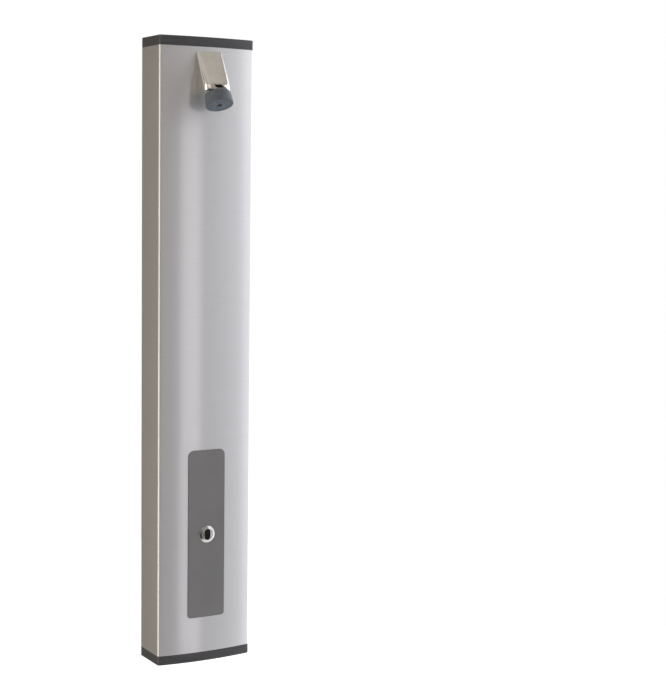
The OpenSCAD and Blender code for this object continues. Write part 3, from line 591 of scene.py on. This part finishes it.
# %% [markdown]
# Mirror lines on the nose would show facets, so the directions that meet it are sampled five to
# eight times as closely as the others. The grid starts just off each pole, and a face closes it.
# Behind, the wedge is trimmed to the bow, where its gasket lies on the casing.

# %% Head
nose_a, nose_span, off_pole = math.pi - nose_tilt, math.radians(9), 0.02
a = np.linspace(0, 2 * math.pi, 200, endpoint=False)
a = np.union1d(a, nose_a + np.linspace(-nose_span, nose_span, 81))
b = np.linspace(off_pole, math.pi - off_pole, 160)
b = np.union1d(b, math.pi / 2 + np.linspace(-nose_span, nose_span, 91))
grid, outward = support_map(head_corners(), head_edge, a, b)
grid[..., 1] = np.minimum(grid[..., 1], bow_y(grid[..., 0], gasket_t))
rows, cols = grid.shape[:2]
tips = (range(cols)[::-1], range((rows - 1) * cols, rows * cols))
head = mesh_object("head_casting", grid, grid_faces(rows, cols, wrap_cols=True), ends=tips,
                   normals=outward)
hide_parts("head_body")
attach(head, "panel")

# %% [markdown]
# ## Spray bell
# The bell is a moulding in grey plastic that turns on the ball under the head. It hangs tilted from
# the ball's centre, so its profiles are drawn round an upright axis there and one matrix moves them.

# %% Spray frame
ball = np.array([0.0, -119.2, 505.7])
spray_tilt = math.radians(24.0)
c, s = math.cos(spray_tilt), math.sin(spray_tilt)
spray_place = np.eye(4)
spray_place[1:3, 1:3] = [[c, s], [-s, c]]
spray_place[:3, 3] = ball
top_z, rim_z = -14.0, -37.9
print("spray axis points", np.round(-spray_place[:3, 2], 3))

# %% [markdown]
# The bell's lower wall has rows of small round dimples for wet fingers. It is a profile turned round
# the spray's axis, and the dimples push the wall in where the product of two cosines, one round the
# bell and one down it, is high, which sets each row half a pitch from the next.

# %% Bell
dimple_count, dimple_pitch, dimple_depth = 42, 3.9, 0.32
neck_r, crown_z, socket_z = 4.25, top_z + 2.8, top_z - 10
wall_top, wall_end = (24.7, top_z - 3), (26.5, rim_z + 1.6)


def bell_grid(steps=504):
    """The turned profile, with its wall between the shoulder and the rim divided finely and pushed
    in by depth * max(0, cos(n t) cos(pi s / pitch)) ** 3."""
    shoulder = rounded([(neck_r, crown_z), (9, crown_z), (21.5, top_z + 1), (23.9, top_z - 0.3),
                        wall_top], (0, 1.5, 2.5, 1.2, 0), 6)
    side = np.linspace(wall_top, wall_end, 54)
    rim = rounded([wall_end, (25.7, rim_z), (23.6, rim_z), (23.6, rim_z + 2.9), (22.2, rim_z + 2.9),
                   (21.8, top_z - 3), (8, top_z - 1.5), (8, socket_z), (neck_r, socket_z)],
                  (0, 1.2, 0.5, 0, 0, 0, 0, 0, 0), 6)
    profile = np.concatenate([[(neck_r, socket_z)], shoulder, side[1:], rim[1:-1]])
    r, z = np.hsplit(profile, 2)
    t = np.linspace(0, 2 * math.pi, steps, endpoint=False)
    wave = np.cos(dimple_count * t) * np.cos(math.pi * (top_z - 9 - z) / dimple_pitch)
    on_wall = (z > rim_z + 1.7) & (z < top_z - 8) & (r > 24)
    r = r - dimple_depth * np.where(on_wall, np.maximum(wave, 0) ** 3, 0)
    return turned(r, z, steps, spray_place)


grid = bell_grid()
quads = grid_faces(*grid.shape[:2], wrap_rows=True, wrap_cols=True)
bell = mesh_object("spray_bell", grid, quads)
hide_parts("spray_shell")
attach(bell, "spray_head")

# %% [markdown]
# ## Spray face
# The face is a flexible disc whose nozzles are rubbed clean with a finger. A raised lip stands round
# the dark middle, and a shallow groove runs between the two outer rows. The disc is a turned
# profile. One nozzle is a small turned profile too, and all of them are that grid, moved by arrays.

# %% Face and nozzle surfaces
nozzle_rows = ((11.0, 12), (15.8, 18), (21.8, 32))


def face_grid(steps=160):
    """The turned profile of the disc, from its bore out to its edge and back. Heights are measured
    from the bell's rim."""
    line = rounded([(1.8, 5.3), (1.8, 2.25), (6.4, 2.25), (6.4, -0.45), (8.0, -0.45), (8.6, 0),
                    (18.4, 0), (18.7, 0.7), (19.3, 0.7), (19.6, 0), (23.5, 0), (23.5, 2.9),
                    (5.5, 2.9), (5.5, 5.3)],
                   (0, 0, 0, 0.5, 0.4, 0.3, 0.2, 0.2, 0.2, 0.2, 0.3, 0, 0, 0))
    return turned(line[:, :1], rim_z + line[:, 1:], steps, spray_place)


def nozzle_grids(steps=14):
    """Every nozzle as rings of points: a small cone with a rounded tip and a hole, set at each place
    of each row. Shape: nozzle, ring, step round, xyz."""
    line = rounded([(0, 0.5), (1.25, 0.5), (0.95, -1.15), (0.5, -1.15), (0.42, -0.3), (0, -0.3)],
                   (0, 0, 0.3, 0.1, 0, 0), 4)
    one = turned(line[:, :1], rim_z + line[:, 1:], steps)
    angle = np.concatenate([np.arange(n) * 2 * math.pi / n for _, n in nozzle_rows])
    reach = np.concatenate([np.full(n, radius) for radius, n in nozzle_rows])
    move = np.stack([reach * np.cos(angle), reach * np.sin(angle), np.zeros_like(angle)], -1)
    points = one[None] + move[:, None, None, :]
    return points @ spray_place[:3, :3].T + spray_place[:3, 3]


print("nozzles:", len(nozzle_grids()))

# %% [markdown]
# The disc and the nozzles become one mesh. The corner numbers of each nozzle start where those of
# the one before end, so an array of starts added to one nozzle's faces gives the faces of all.

# %% Face
disc, studs = face_grid(), nozzle_grids()
count, rings, steps = studs.shape[:3]
disc_quads = grid_faces(*disc.shape[:2], wrap_rows=True, wrap_cols=True)
stud_quads = grid_faces(rings, steps, wrap_cols=True)
if inside_out(disc, disc_quads):
    disc_quads = disc_quads[:, ::-1]
if inside_out(studs[0], stud_quads):
    stud_quads = stud_quads[:, ::-1]
starts = disc.shape[0] * disc.shape[1] + np.arange(count) * rings * steps
points = np.concatenate([disc.reshape(-1, 3), studs.reshape(-1, 3)])
quads = np.concatenate([disc_quads, (stud_quads[None] + starts[:, None, None]).reshape(-1, 4)])
face = mesh_object("nozzle_face", points, quads)
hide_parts("spray_face")
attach(face, "spray_head")

# %% [markdown]
# ## Materials
# Each finish starts from what the real one is. Colours are written as sRGB hex values, as a colour
# picker shows them, and Blender mixes light in linear values, so one function turns them over. A
# second small function adds a node with its settings and its links.

# %% Colour and node helpers


def linear(colour, alpha=True):
    """An sRGB hex colour as linear values: v / 12.92 up to 0.04045, else
    ((v + 0.055) / 1.055) ** 2.4."""
    v = np.array([int(colour[k:k + 2], 16) for k in (1, 3, 5)]) / 255
    v = np.where(v <= 0.04045, v / 12.92, ((v + 0.055) / 1.055) ** 2.4)
    return tuple(v.tolist()) + ((1.0,) if alpha else ())


def add(tree, kind, inputs=None, **settings):
    """A new shader node with settings. An input is given a value, or linked where the value is a
    socket or a node. A node stands for its first output."""
    node = tree.nodes.new("ShaderNode" + kind)
    for key, value in settings.items():
        setattr(node, key, value)
    for key, value in (inputs or {}).items():
        if isinstance(value, bpy.types.Node):
            value = value.outputs[0]
        if isinstance(value, bpy.types.NodeSocket):
            tree.links.new(value, node.inputs[key])
        else:
            node.inputs[key].default_value = value
    return node


def empty_tree(owner):
    """The node tree of a new material or world, with nothing in it yet."""
    owner.use_nodes = True
    owner.node_tree.nodes.clear()
    return owner.node_tree


print("middle grey, linear:", round(linear("#808080")[0], 3))

# %% [markdown]
# A finish is never one even value. Every material on the panel has a Principled shader that a noise
# steers. It picks the colour between two close tones and, on most, the roughness between two values,
# and it or a finer one may raise the surface a little. The noises read Object coordinates, which are
# metres on the piece, so a noise with the scale 1 / size has one unit over that size. With its finer
# octaves, a unit of noise holds about two grains.

# %% Building a finish


def material(name, **shader):
    """A material with its output and one Principled shader, whose sockets take the given values.
    Returns it with its tree, its shader and the Object coordinates."""
    made = bpy.data.materials.new(name)
    tree = empty_tree(made)
    body = add(tree, "BsdfPrincipled", {k.replace("_", " "): v for k, v in shader.items()})
    add(tree, "OutputMaterial", {"Surface": body})
    return made, tree, body, add(tree, "TexCoord").outputs["Object"]


def steer(tree, body, by, tones, rough=None, raised=None, bump=(0.1, 0.0002), span=(0.3, 0.7),
          rough_span=None):
    """Steers a shader by a noise. Over the span of the noise the colour goes from the first tone to
    the second, and over rough_span, the same if none is given, the roughness goes along its pair.
    The raised node is the height of a bump with a strength and a distance in metres."""
    tone = add(tree, "ValToRGB", {"Fac": by})
    for stop, at, colour in zip(tone.color_ramp.elements, span, tones):
        stop.position, stop.color = at, linear(colour)
    tree.links.new(tone.outputs[0], body.inputs["Base Color"])
    if rough:
        low, high = rough_span or span
        spread = add(tree, "MapRange", {"Value": by, "From Min": low, "From Max": high,
                                        "To Min": rough[0], "To Max": rough[1]})
        tree.links.new(spread.outputs[0], body.inputs["Roughness"])
    if raised:
        relief = add(tree, "Bump", {"Height": raised, "Strength": bump[0], "Distance": bump[1]})
        tree.links.new(relief.outputs[0], body.inputs["Normal"])


def dress(made, *names):
    """Gives a material to new pieces or to CAD nodes, on every slot they have."""
    for name in names:
        obj = nodes[name] if isinstance(name, str) else name
        if not obj.material_slots:
            obj.data.materials.append(made)
        for slot in obj.material_slots:
            slot.material = made
    print(made.name, "on", len(names))


# %% [markdown]
# ### Anodised aluminium
# The casing is brushed or etched before it is anodised, so the metal shines softly and keeps a faint
# grain that runs across the panel. Over it lies the clear oxide, which is smoother on top and gives
# a second, narrower shine. Its index is about 1.77, and 1.9 here, so that the narrow band of light
# on the front shows. The real grain is about 0.1 mm fine, too fine for this picture, so it is drawn
# 1.6 mm high and 60 mm long. It shifts the roughness and the colour by a few hundredths only.

# %% Anodised aluminium
aluminium, tree, body, where = material("satin_anodised_aluminium", Metallic=1.0, Coat_Weight=1.0,
                                        Coat_Roughness=0.14, Coat_IOR=1.9)
grain_place = add(tree, "Mapping", {"Vector": where, "Scale": (1 / 0.06, 1 / 0.06, 1 / 0.0016)})
grain = add(tree, "TexNoise", {"Vector": grain_place, "Scale": 1.0, "Detail": 4.0,
                               "Roughness": 0.6})
cloud_place = add(tree, "Mapping", {"Vector": where, "Scale": (1 / 0.09, 1 / 0.09, 1 / 0.02)})
cloud = add(tree, "TexNoise", {"Vector": cloud_place, "Scale": 1.0, "Detail": 2.0})
height = add(tree, "Math", {0: grain, 1: cloud}, operation="ADD")
steer(tree, body, grain, ("#dddddd", "#e2e2e3"), (0.54, 0.56), height, (0.03, 0.0003),
      span=(0.25, 0.75))
dress(aluminium, casing)

# %% [markdown]
# ### Moulded charcoal plastic
# The caps are a glass-filled nylon in dark grey. Flow lines in the mould leave faint streaks along
# the part, about 3 mm high here, and a spark texture of about 0.4 mm makes the surface satin.

# %% Cap moulding
cap_plastic, tree, body, where = material("moulded_charcoal_nylon", IOR=1.53)
flow_place = add(tree, "Mapping", {"Vector": where, "Scale": (1 / 0.05, 1 / 0.05, 1 / 0.003)})
flow = add(tree, "TexNoise", {"Vector": flow_place, "Scale": 1.0, "Detail": 3.0})
spark = add(tree, "TexNoise", {"Vector": where, "Scale": 1 / 0.0008, "Detail": 2.0})
steer(tree, body, flow, ("#464649", "#515256"), (0.38, 0.50), spark, (0.15, 0.0002))
dress(cap_plastic, *caps)

# %% [markdown]
# ### Grey lacquered sheet
# The plate is aluminium sheet with a stoved grey lacquer. Lacquer has a soft gloss over a slight
# orange peel, one noise unit of 2 mm here, and its grey wanders a little over the sheet.

# %% Fascia lacquer
lacquer, tree, body, where = material("stoved_grey_lacquer", IOR=1.5)
peel = add(tree, "TexNoise", {"Vector": where, "Scale": 1 / 0.002, "Detail": 2.0})
drift = add(tree, "TexNoise", {"Vector": where, "Scale": 1 / 0.06, "Detail": 3.0})
steer(tree, body, drift, ("#858587", "#8b8b8d"), (0.34, 0.42), peel, (0.05, 0.0003))
dress(lacquer, plate)

# %% [markdown]
# ### Chrome plate
# Bright chrome is a very thin layer over polished nickel. It mirrors the room with hardly any blur,
# and it is a little warmer and darker than silver. Polishing leaves a slow wave in the surface, with
# a noise unit of 9 mm, and a haze that changes over 15 mm.

# %% Chrome
chrome, tree, body, where = material("bright_chrome_plate", Metallic=1.0)
wave = add(tree, "TexNoise", {"Vector": where, "Scale": 1 / 0.009, "Detail": 1.0})
haze = add(tree, "TexNoise", {"Vector": where, "Scale": 1 / 0.015, "Detail": 4.0})
steer(tree, body, haze, ("#dddbd7", "#e5e3e0"), (0.03, 0.06), wave, (0.05, 0.0003))
dress(chrome, head, "swivel_ball")

# %% [markdown]
# ### Blue-grey moulded plastic
# The bell is ABS with a matt grain of about 0.3 mm. Matt plastic spreads its highlight widely, so
# its dimples read by shade and not by glints. Its colour drifts over about a centimetre.

# %% Bell plastic
bell_plastic, tree, body, where = material("matt_blue_grey_abs", Roughness=0.5, IOR=1.53)
matt = add(tree, "TexNoise", {"Vector": where, "Scale": 1 / 0.0006, "Detail": 2.0})
drift = add(tree, "TexNoise", {"Vector": where, "Scale": 1 / 0.012, "Detail": 2.0})
steer(tree, body, drift, ("#5a626a", "#646d76"), raised=matt, bump=(0.2, 0.0001))
dress(bell_plastic, bell)

# %% [markdown]
# ### Blue-grey silicone
# The nozzle face is a soft rubber of nearly the bell's colour, a little lighter. Water leaves a dull
# bloom on it in spots of a few millimetres, which shows in its colour and its roughness.

# %% Face rubber
rubber_face, tree, body, where = material("blue_grey_silicone", IOR=1.43)
bloom = add(tree, "TexNoise", {"Vector": where, "Scale": 1 / 0.005, "Detail": 3.0})
steer(tree, body, bloom, ("#727c87", "#7f8a96"), (0.5, 0.62), rough_span=(0.0, 1.0))
dress(rubber_face, face)

# %% [markdown]
# ### Satin steel
# The bezel is turned and then brushed upright, so its flat face is grey with fine lines while its
# polished cone shines. A noise unit of 0.5 mm draws the lines a few times wider than real ones.

# %% Satin steel
steel, tree, body, where = material("satin_stainless_steel", Metallic=1.0)
line_place = add(tree, "Mapping", {"Vector": where, "Scale": (1 / 0.0005, 1 / 0.0005, 1 / 0.02)})
lines = add(tree, "TexNoise", {"Vector": line_place, "Scale": 1.0, "Detail": 3.0})
steer(tree, body, lines, ("#a9a8a6", "#c4c3c1"), (0.18, 0.32), lines, (0.1, 0.0001))
dress(steel, bezel)

# %% [markdown]
# ### Window plastic
# The window is a black polycarbonate that passes infrared light. It looks almost black, with a
# polished face, a trace of brown and smears a few millimetres long.

# %% Window
window, tree, body, where = material("infrared_black_polycarbonate", IOR=1.58)
smear = add(tree, "TexNoise", {"Vector": where, "Scale": 1 / 0.006, "Detail": 3.0})
steer(tree, body, smear, ("#120f0e", "#1d1917"), (0.08, 0.2), rough_span=(0.0, 1.0))
dress(window, "sensor_window")

# %% [markdown]
# ### The finishes behind the casing
# The fittings inside are standard plumbing and electrical parts. Each kind has two tones that drift
# into each other over a few millimetres, a roughness that goes with them, and a fine bump for how it
# was made: cast, drawn, plated, moulded or laminated. The screw in the spray face is black zinc.

# %% Finishes of the fittings


def mottled(name, tones, patch_mm, grain_mm, rough, strength, **shader):
    """A material whose colour and roughness drift between two values over patches of a given size,
    with a bump of a finer size."""
    made, tree, body, where = material(name, **shader)
    patch = add(tree, "TexNoise", {"Vector": where, "Scale": 1 / (patch_mm * MM), "Detail": 3.0})
    grain = add(tree, "TexNoise", {"Vector": where, "Scale": 1 / (grain_mm * MM), "Detail": 2.0})
    steer(tree, body, patch, tones, rough, grain, (strength, 0.0002))
    return made


zinc = mottled("zinc_plated_steel", ("#a5a8aa", "#c2c5c6"), 6, 0.6, (0.28, 0.42), 0.1, Metallic=1.0)
black_zinc = mottled("black_zinc_plated_steel", ("#1a1614", "#2c2521"), 2, 0.4, (0.4, 0.55), 0.1,
                     IOR=1.6)
brass = mottled("machined_brass", ("#b08a45", "#c9a35a"), 5, 0.5, (0.2, 0.34), 0.08, Metallic=1.0)
copper = mottled("drawn_copper_tube", ("#b0694a", "#c98564"), 8, 0.5, (0.22, 0.38), 0.06,
                 Metallic=1.0)
rubber = mottled("black_nitrile_rubber", ("#1c1c1e", "#28282a"), 4, 0.5, (0.6, 0.75), 0.2, IOR=1.52)
acetal = mottled("white_acetal", ("#dcdad2", "#e8e6df"), 5, 0.5, (0.35, 0.45), 0.08, IOR=1.48)
flow_plastic = mottled("green_acetal", ("#3f7d58", "#4b8b64"), 4, 0.5, (0.35, 0.45), 0.1, IOR=1.48)
dark_plastic = mottled("black_abs", ("#1b1b1d", "#26262a"), 6, 0.5, (0.4, 0.55), 0.15, IOR=1.53)
jacket = mottled("cell_jacket_film", ("#33518f", "#3d5c9b"), 10, 0.8, (0.22, 0.32), 0.05, IOR=1.57)
laminate = mottled("glass_epoxy_laminate", ("#1f5a39", "#2a6a45"), 3, 0.3, (0.3, 0.4), 0.15,
                   IOR=1.55)
dress(black_zinc, "face_screw")

# %% [markdown]
# The record says which slot each CAD node has, so the finishes are handed out by slot, and a node
# keeps the finish that it has already been given above.

# %% Hand out by slot
by_slot = {"plated_steel": zinc, "satin_steel": steel, "brass": brass, "copper": copper,
           "seal_rubber": rubber, "seat_plastic": acetal, "regulator_plastic": flow_plastic,
           "black_plastic": dark_plastic, "cell_jacket": jacket, "board_laminate": laminate,
           "chrome_plate": chrome, "window_plastic": window, "cap_moulding": cap_plastic,
           "anodised_aluminium": aluminium, "fascia_finish": lacquer,
           "spray_moulding": bell_plastic}
given_above = {chrome, window, black_zinc}
waiting = {}
for entry in frame["record"]["subparts"]:
    if not given_above & {s.material for s in nodes[entry["node"]].material_slots}:
        waiting.setdefault(entry["material_slot"], []).append(entry["node"])
for slot, names in waiting.items():
    dress(by_slot[slot], *names)

# %% [markdown]
# ## Floor and backdrop
# A pale floor under the panel takes its soft shadow. Camera, glossy and transmission rays also get a
# plain white from it, so that it blends with the backdrop and still darkens where the panel stands
# in the way of the lamps. It could be lit until it turned white instead, but that light would also
# fall on the panel.

# %% Floor
hung_above, half_side, front, back = 1.2, 4.0, -1.4, 6.0
own_light = 0.85


def sheet(name, corners):
    """A flat piece of scenery with four corners, in metres."""
    mesh = bpy.data.meshes.new(name)
    mesh.from_pydata([tuple(c) for c in corners], [], [(0, 1, 2, 3)])
    return put(name, mesh)


def plain_rays(tree, path, mirrored):
    """1 for the rays that see a plain background: camera rays, transmission rays and the mirror rays
    that are let through. It is the largest of the three."""
    direct = {0: path.outputs["Is Camera Ray"], 1: path.outputs["Is Transmission Ray"]}
    seen = add(tree, "Math", direct, operation="MAXIMUM")
    return add(tree, "Math", {0: seen, 1: mirrored}, operation="MAXIMUM")


floor_z = float(cad_box[0][2]) - hung_above
floor = sheet("floor", [(-half_side, front, floor_z), (half_side, front, floor_z),
                        (half_side, back, floor_z), (-half_side, back, floor_z)])
pale = bpy.data.materials.new("pale_floor")
tree = empty_tree(pale)
path = add(tree, "LightPath")
seen = plain_rays(tree, path, path.outputs["Is Glossy Ray"])
lift = add(tree, "Math", {0: seen, 1: own_light}, operation="MULTIPLY")
matt_white = add(tree, "BsdfDiffuse", {"Color": linear("#f4f4f4")})
plain_white = add(tree, "Emission", {"Color": (1, 1, 1, 1), "Strength": lift})
floor_sum = add(tree, "AddShader", {0: matt_white, 1: plain_white})
add(tree, "OutputMaterial", {"Surface": floor_sum})
dress(pale, floor)
print(f"floor at {floor_z:.2f} m")

# %% [markdown]
# The backdrop is the world. Camera and transmission rays see it white, and so do mirror rays that
# go behind the panel, so metal shows it. The rest of the world is the room that the chrome mirrors:
# dim, and brighter high on the left, where a photographer would hang a large soft light.

# %% World
bright_side, room_glow, room_dark = Vector((-0.129, -0.224, 0.966)), 0.60, 0.02
world = bpy.data.worlds.new("studio")
bpy.context.scene.world = world
tree = empty_tree(world)
path = add(tree, "LightPath")
toward = add(tree, "TexCoord").outputs["Generated"]
# The room's brightness is dark + glow * max(0, d . u), where u points to the bright side.
facing = add(tree, "VectorMath", {0: toward, 1: bright_side}, operation="DOT_PRODUCT")
facing = add(tree, "Math", {0: facing.outputs["Value"], 1: 0.0}, operation="MAXIMUM")
glow = add(tree, "Math", {0: facing, 1: room_glow, 2: room_dark}, operation="MULTIPLY_ADD")
room = add(tree, "Background", {"Color": linear("#fff8ee"), "Strength": glow})
white = add(tree, "Background", {"Color": (1, 1, 1, 1), "Strength": 1.0})
sides = add(tree, "SeparateXYZ", {0: toward})
behind = add(tree, "Math", {0: sides.outputs["Y"], 1: 0.0}, operation="GREATER_THAN")
mirrored = add(tree, "Math", {0: path.outputs["Is Glossy Ray"], 1: behind}, operation="MULTIPLY")
seen = plain_rays(tree, path, mirrored)
sky_mix = add(tree, "MixShader", {0: seen, 1: room, 2: white})
add(tree, "OutputWorld", {"Surface": sky_mix})
print(f"room from {room_dark:.2f} to {room_dark + room_glow:.2f}")

# %% [markdown]
# ## Lamps
# Satin metal shows its lamps as broad bands, so each lamp is placed for what the bowed front mirrors
# of it. A very wide lamp far on the right gives the front its even grey. A tall narrow one in front
# draws the bright band. The key stands high on the right and lights the caps and the head from
# above, with a weak warm lamp on the left against it. A tall lamp near the left side wall brings out
# the casing's edge.

# %% Lamps


def lamp(name, azimuth, elevation, distance, size, brightness, colour, aim_z=0.0):
    """A soft rectangular lamp. Azimuth 0 stands in front of the panel and grows to the right, and
    the lamp faces the panel's axis at a height. Distance and size are metres. Its power in watts is
    4 * area * brightness, which makes its face show that brightness, where 1 is white."""
    a, e = math.radians(azimuth), math.radians(elevation)
    away = Vector((math.sin(a) * math.cos(e), -math.cos(a) * math.cos(e), math.sin(e)))
    data = bpy.data.lights.new(name, "AREA")
    data.shape, data.size, data.size_y = "RECTANGLE", size[0], size[1]
    data.energy = 4 * size[0] * size[1] * brightness
    data.color = linear(colour, alpha=False)
    obj = put(name, data)
    obj.location = Vector((0, 0, aim_z)) + away * distance
    obj.rotation_euler = (-away).to_track_quat("-Z", "Y").to_euler()
    print(f"{name}: {data.energy:.1f} W")


lamp("key", 50, 25, 2.6, (1.1, 0.6), 1.5, "#fffefc", aim_z=0.5)
lamp("left_front", -25, 28, 2.6, (2.2, 0.6), 0.35, "#fff4e8", aim_z=0.5)
lamp("right_wall", 75, 4, 3.0, (3.8, 4.2), 1.3, "#f6f8ff")
lamp("band", 17, -8, 3.0, (0.5, 2.1), 1.6, "#fbf7ff")
lamp("edge", -78, 0, 0.6, (0.45, 1.6), 1.1, "#fff4e4")

# %% [markdown]
# ## Cards
# Two cards stand round the panel, and only mirror rays see them. The black one hangs between the
# lamps and the head and draws the dark bar on the chrome nose that shows its shape. The grey one
# stands behind on the left and keeps the white backdrop off the panel's left side.

# %% Cards


def card(name, corners, shade):
    """A flat card of one grey that only mirror rays see."""
    obj = sheet(name, corners)
    obj.visible_camera = obj.visible_diffuse = False
    obj.visible_shadow = obj.visible_transmission = False
    made = bpy.data.materials.new(name)
    tree = empty_tree(made)
    add(tree, "OutputMaterial", {"Surface": add(tree, "Emission", {"Color": linear(shade)})})
    dress(made, obj)


card_side, card_rise, card_away = math.radians(30), math.radians(29), 1.2
card_half_w, card_half_h, head_mid = 0.10, 0.12, Vector((0, -0.13, 0.51))
card_dir = Vector((math.sin(card_side), -math.cos(card_side), math.tan(card_rise))).normalized()
card_mid = head_mid + card_away * card_dir
card_across = Vector((0, 0, 1)).cross(card_dir).normalized()
card_up = card_dir.cross(card_across).normalized()
card("black_card", [card_mid + card_half_w * u * card_across + card_half_h * v * card_up
                    for u, v in ((-1, -1), (1, -1), (1, 1), (-1, 1))], "#1c1a18")
grey_y, grey_left, grey_right, grey_top = 0.6, -4, -0.12, 3
card("grey_card", [(x, grey_y, z) for x, z in ((grey_left, -grey_top), (grey_right, -grey_top),
                                               (grey_right, grey_top), (grey_left, grey_top))],
     "#6a645c")

# %% [markdown]
# ## Colours as written
# The Standard view shows a colour as it is written. Everything else about the view stays as Blender
# has it.

# %% View
bpy.context.scene.view_settings.view_transform = "Standard"
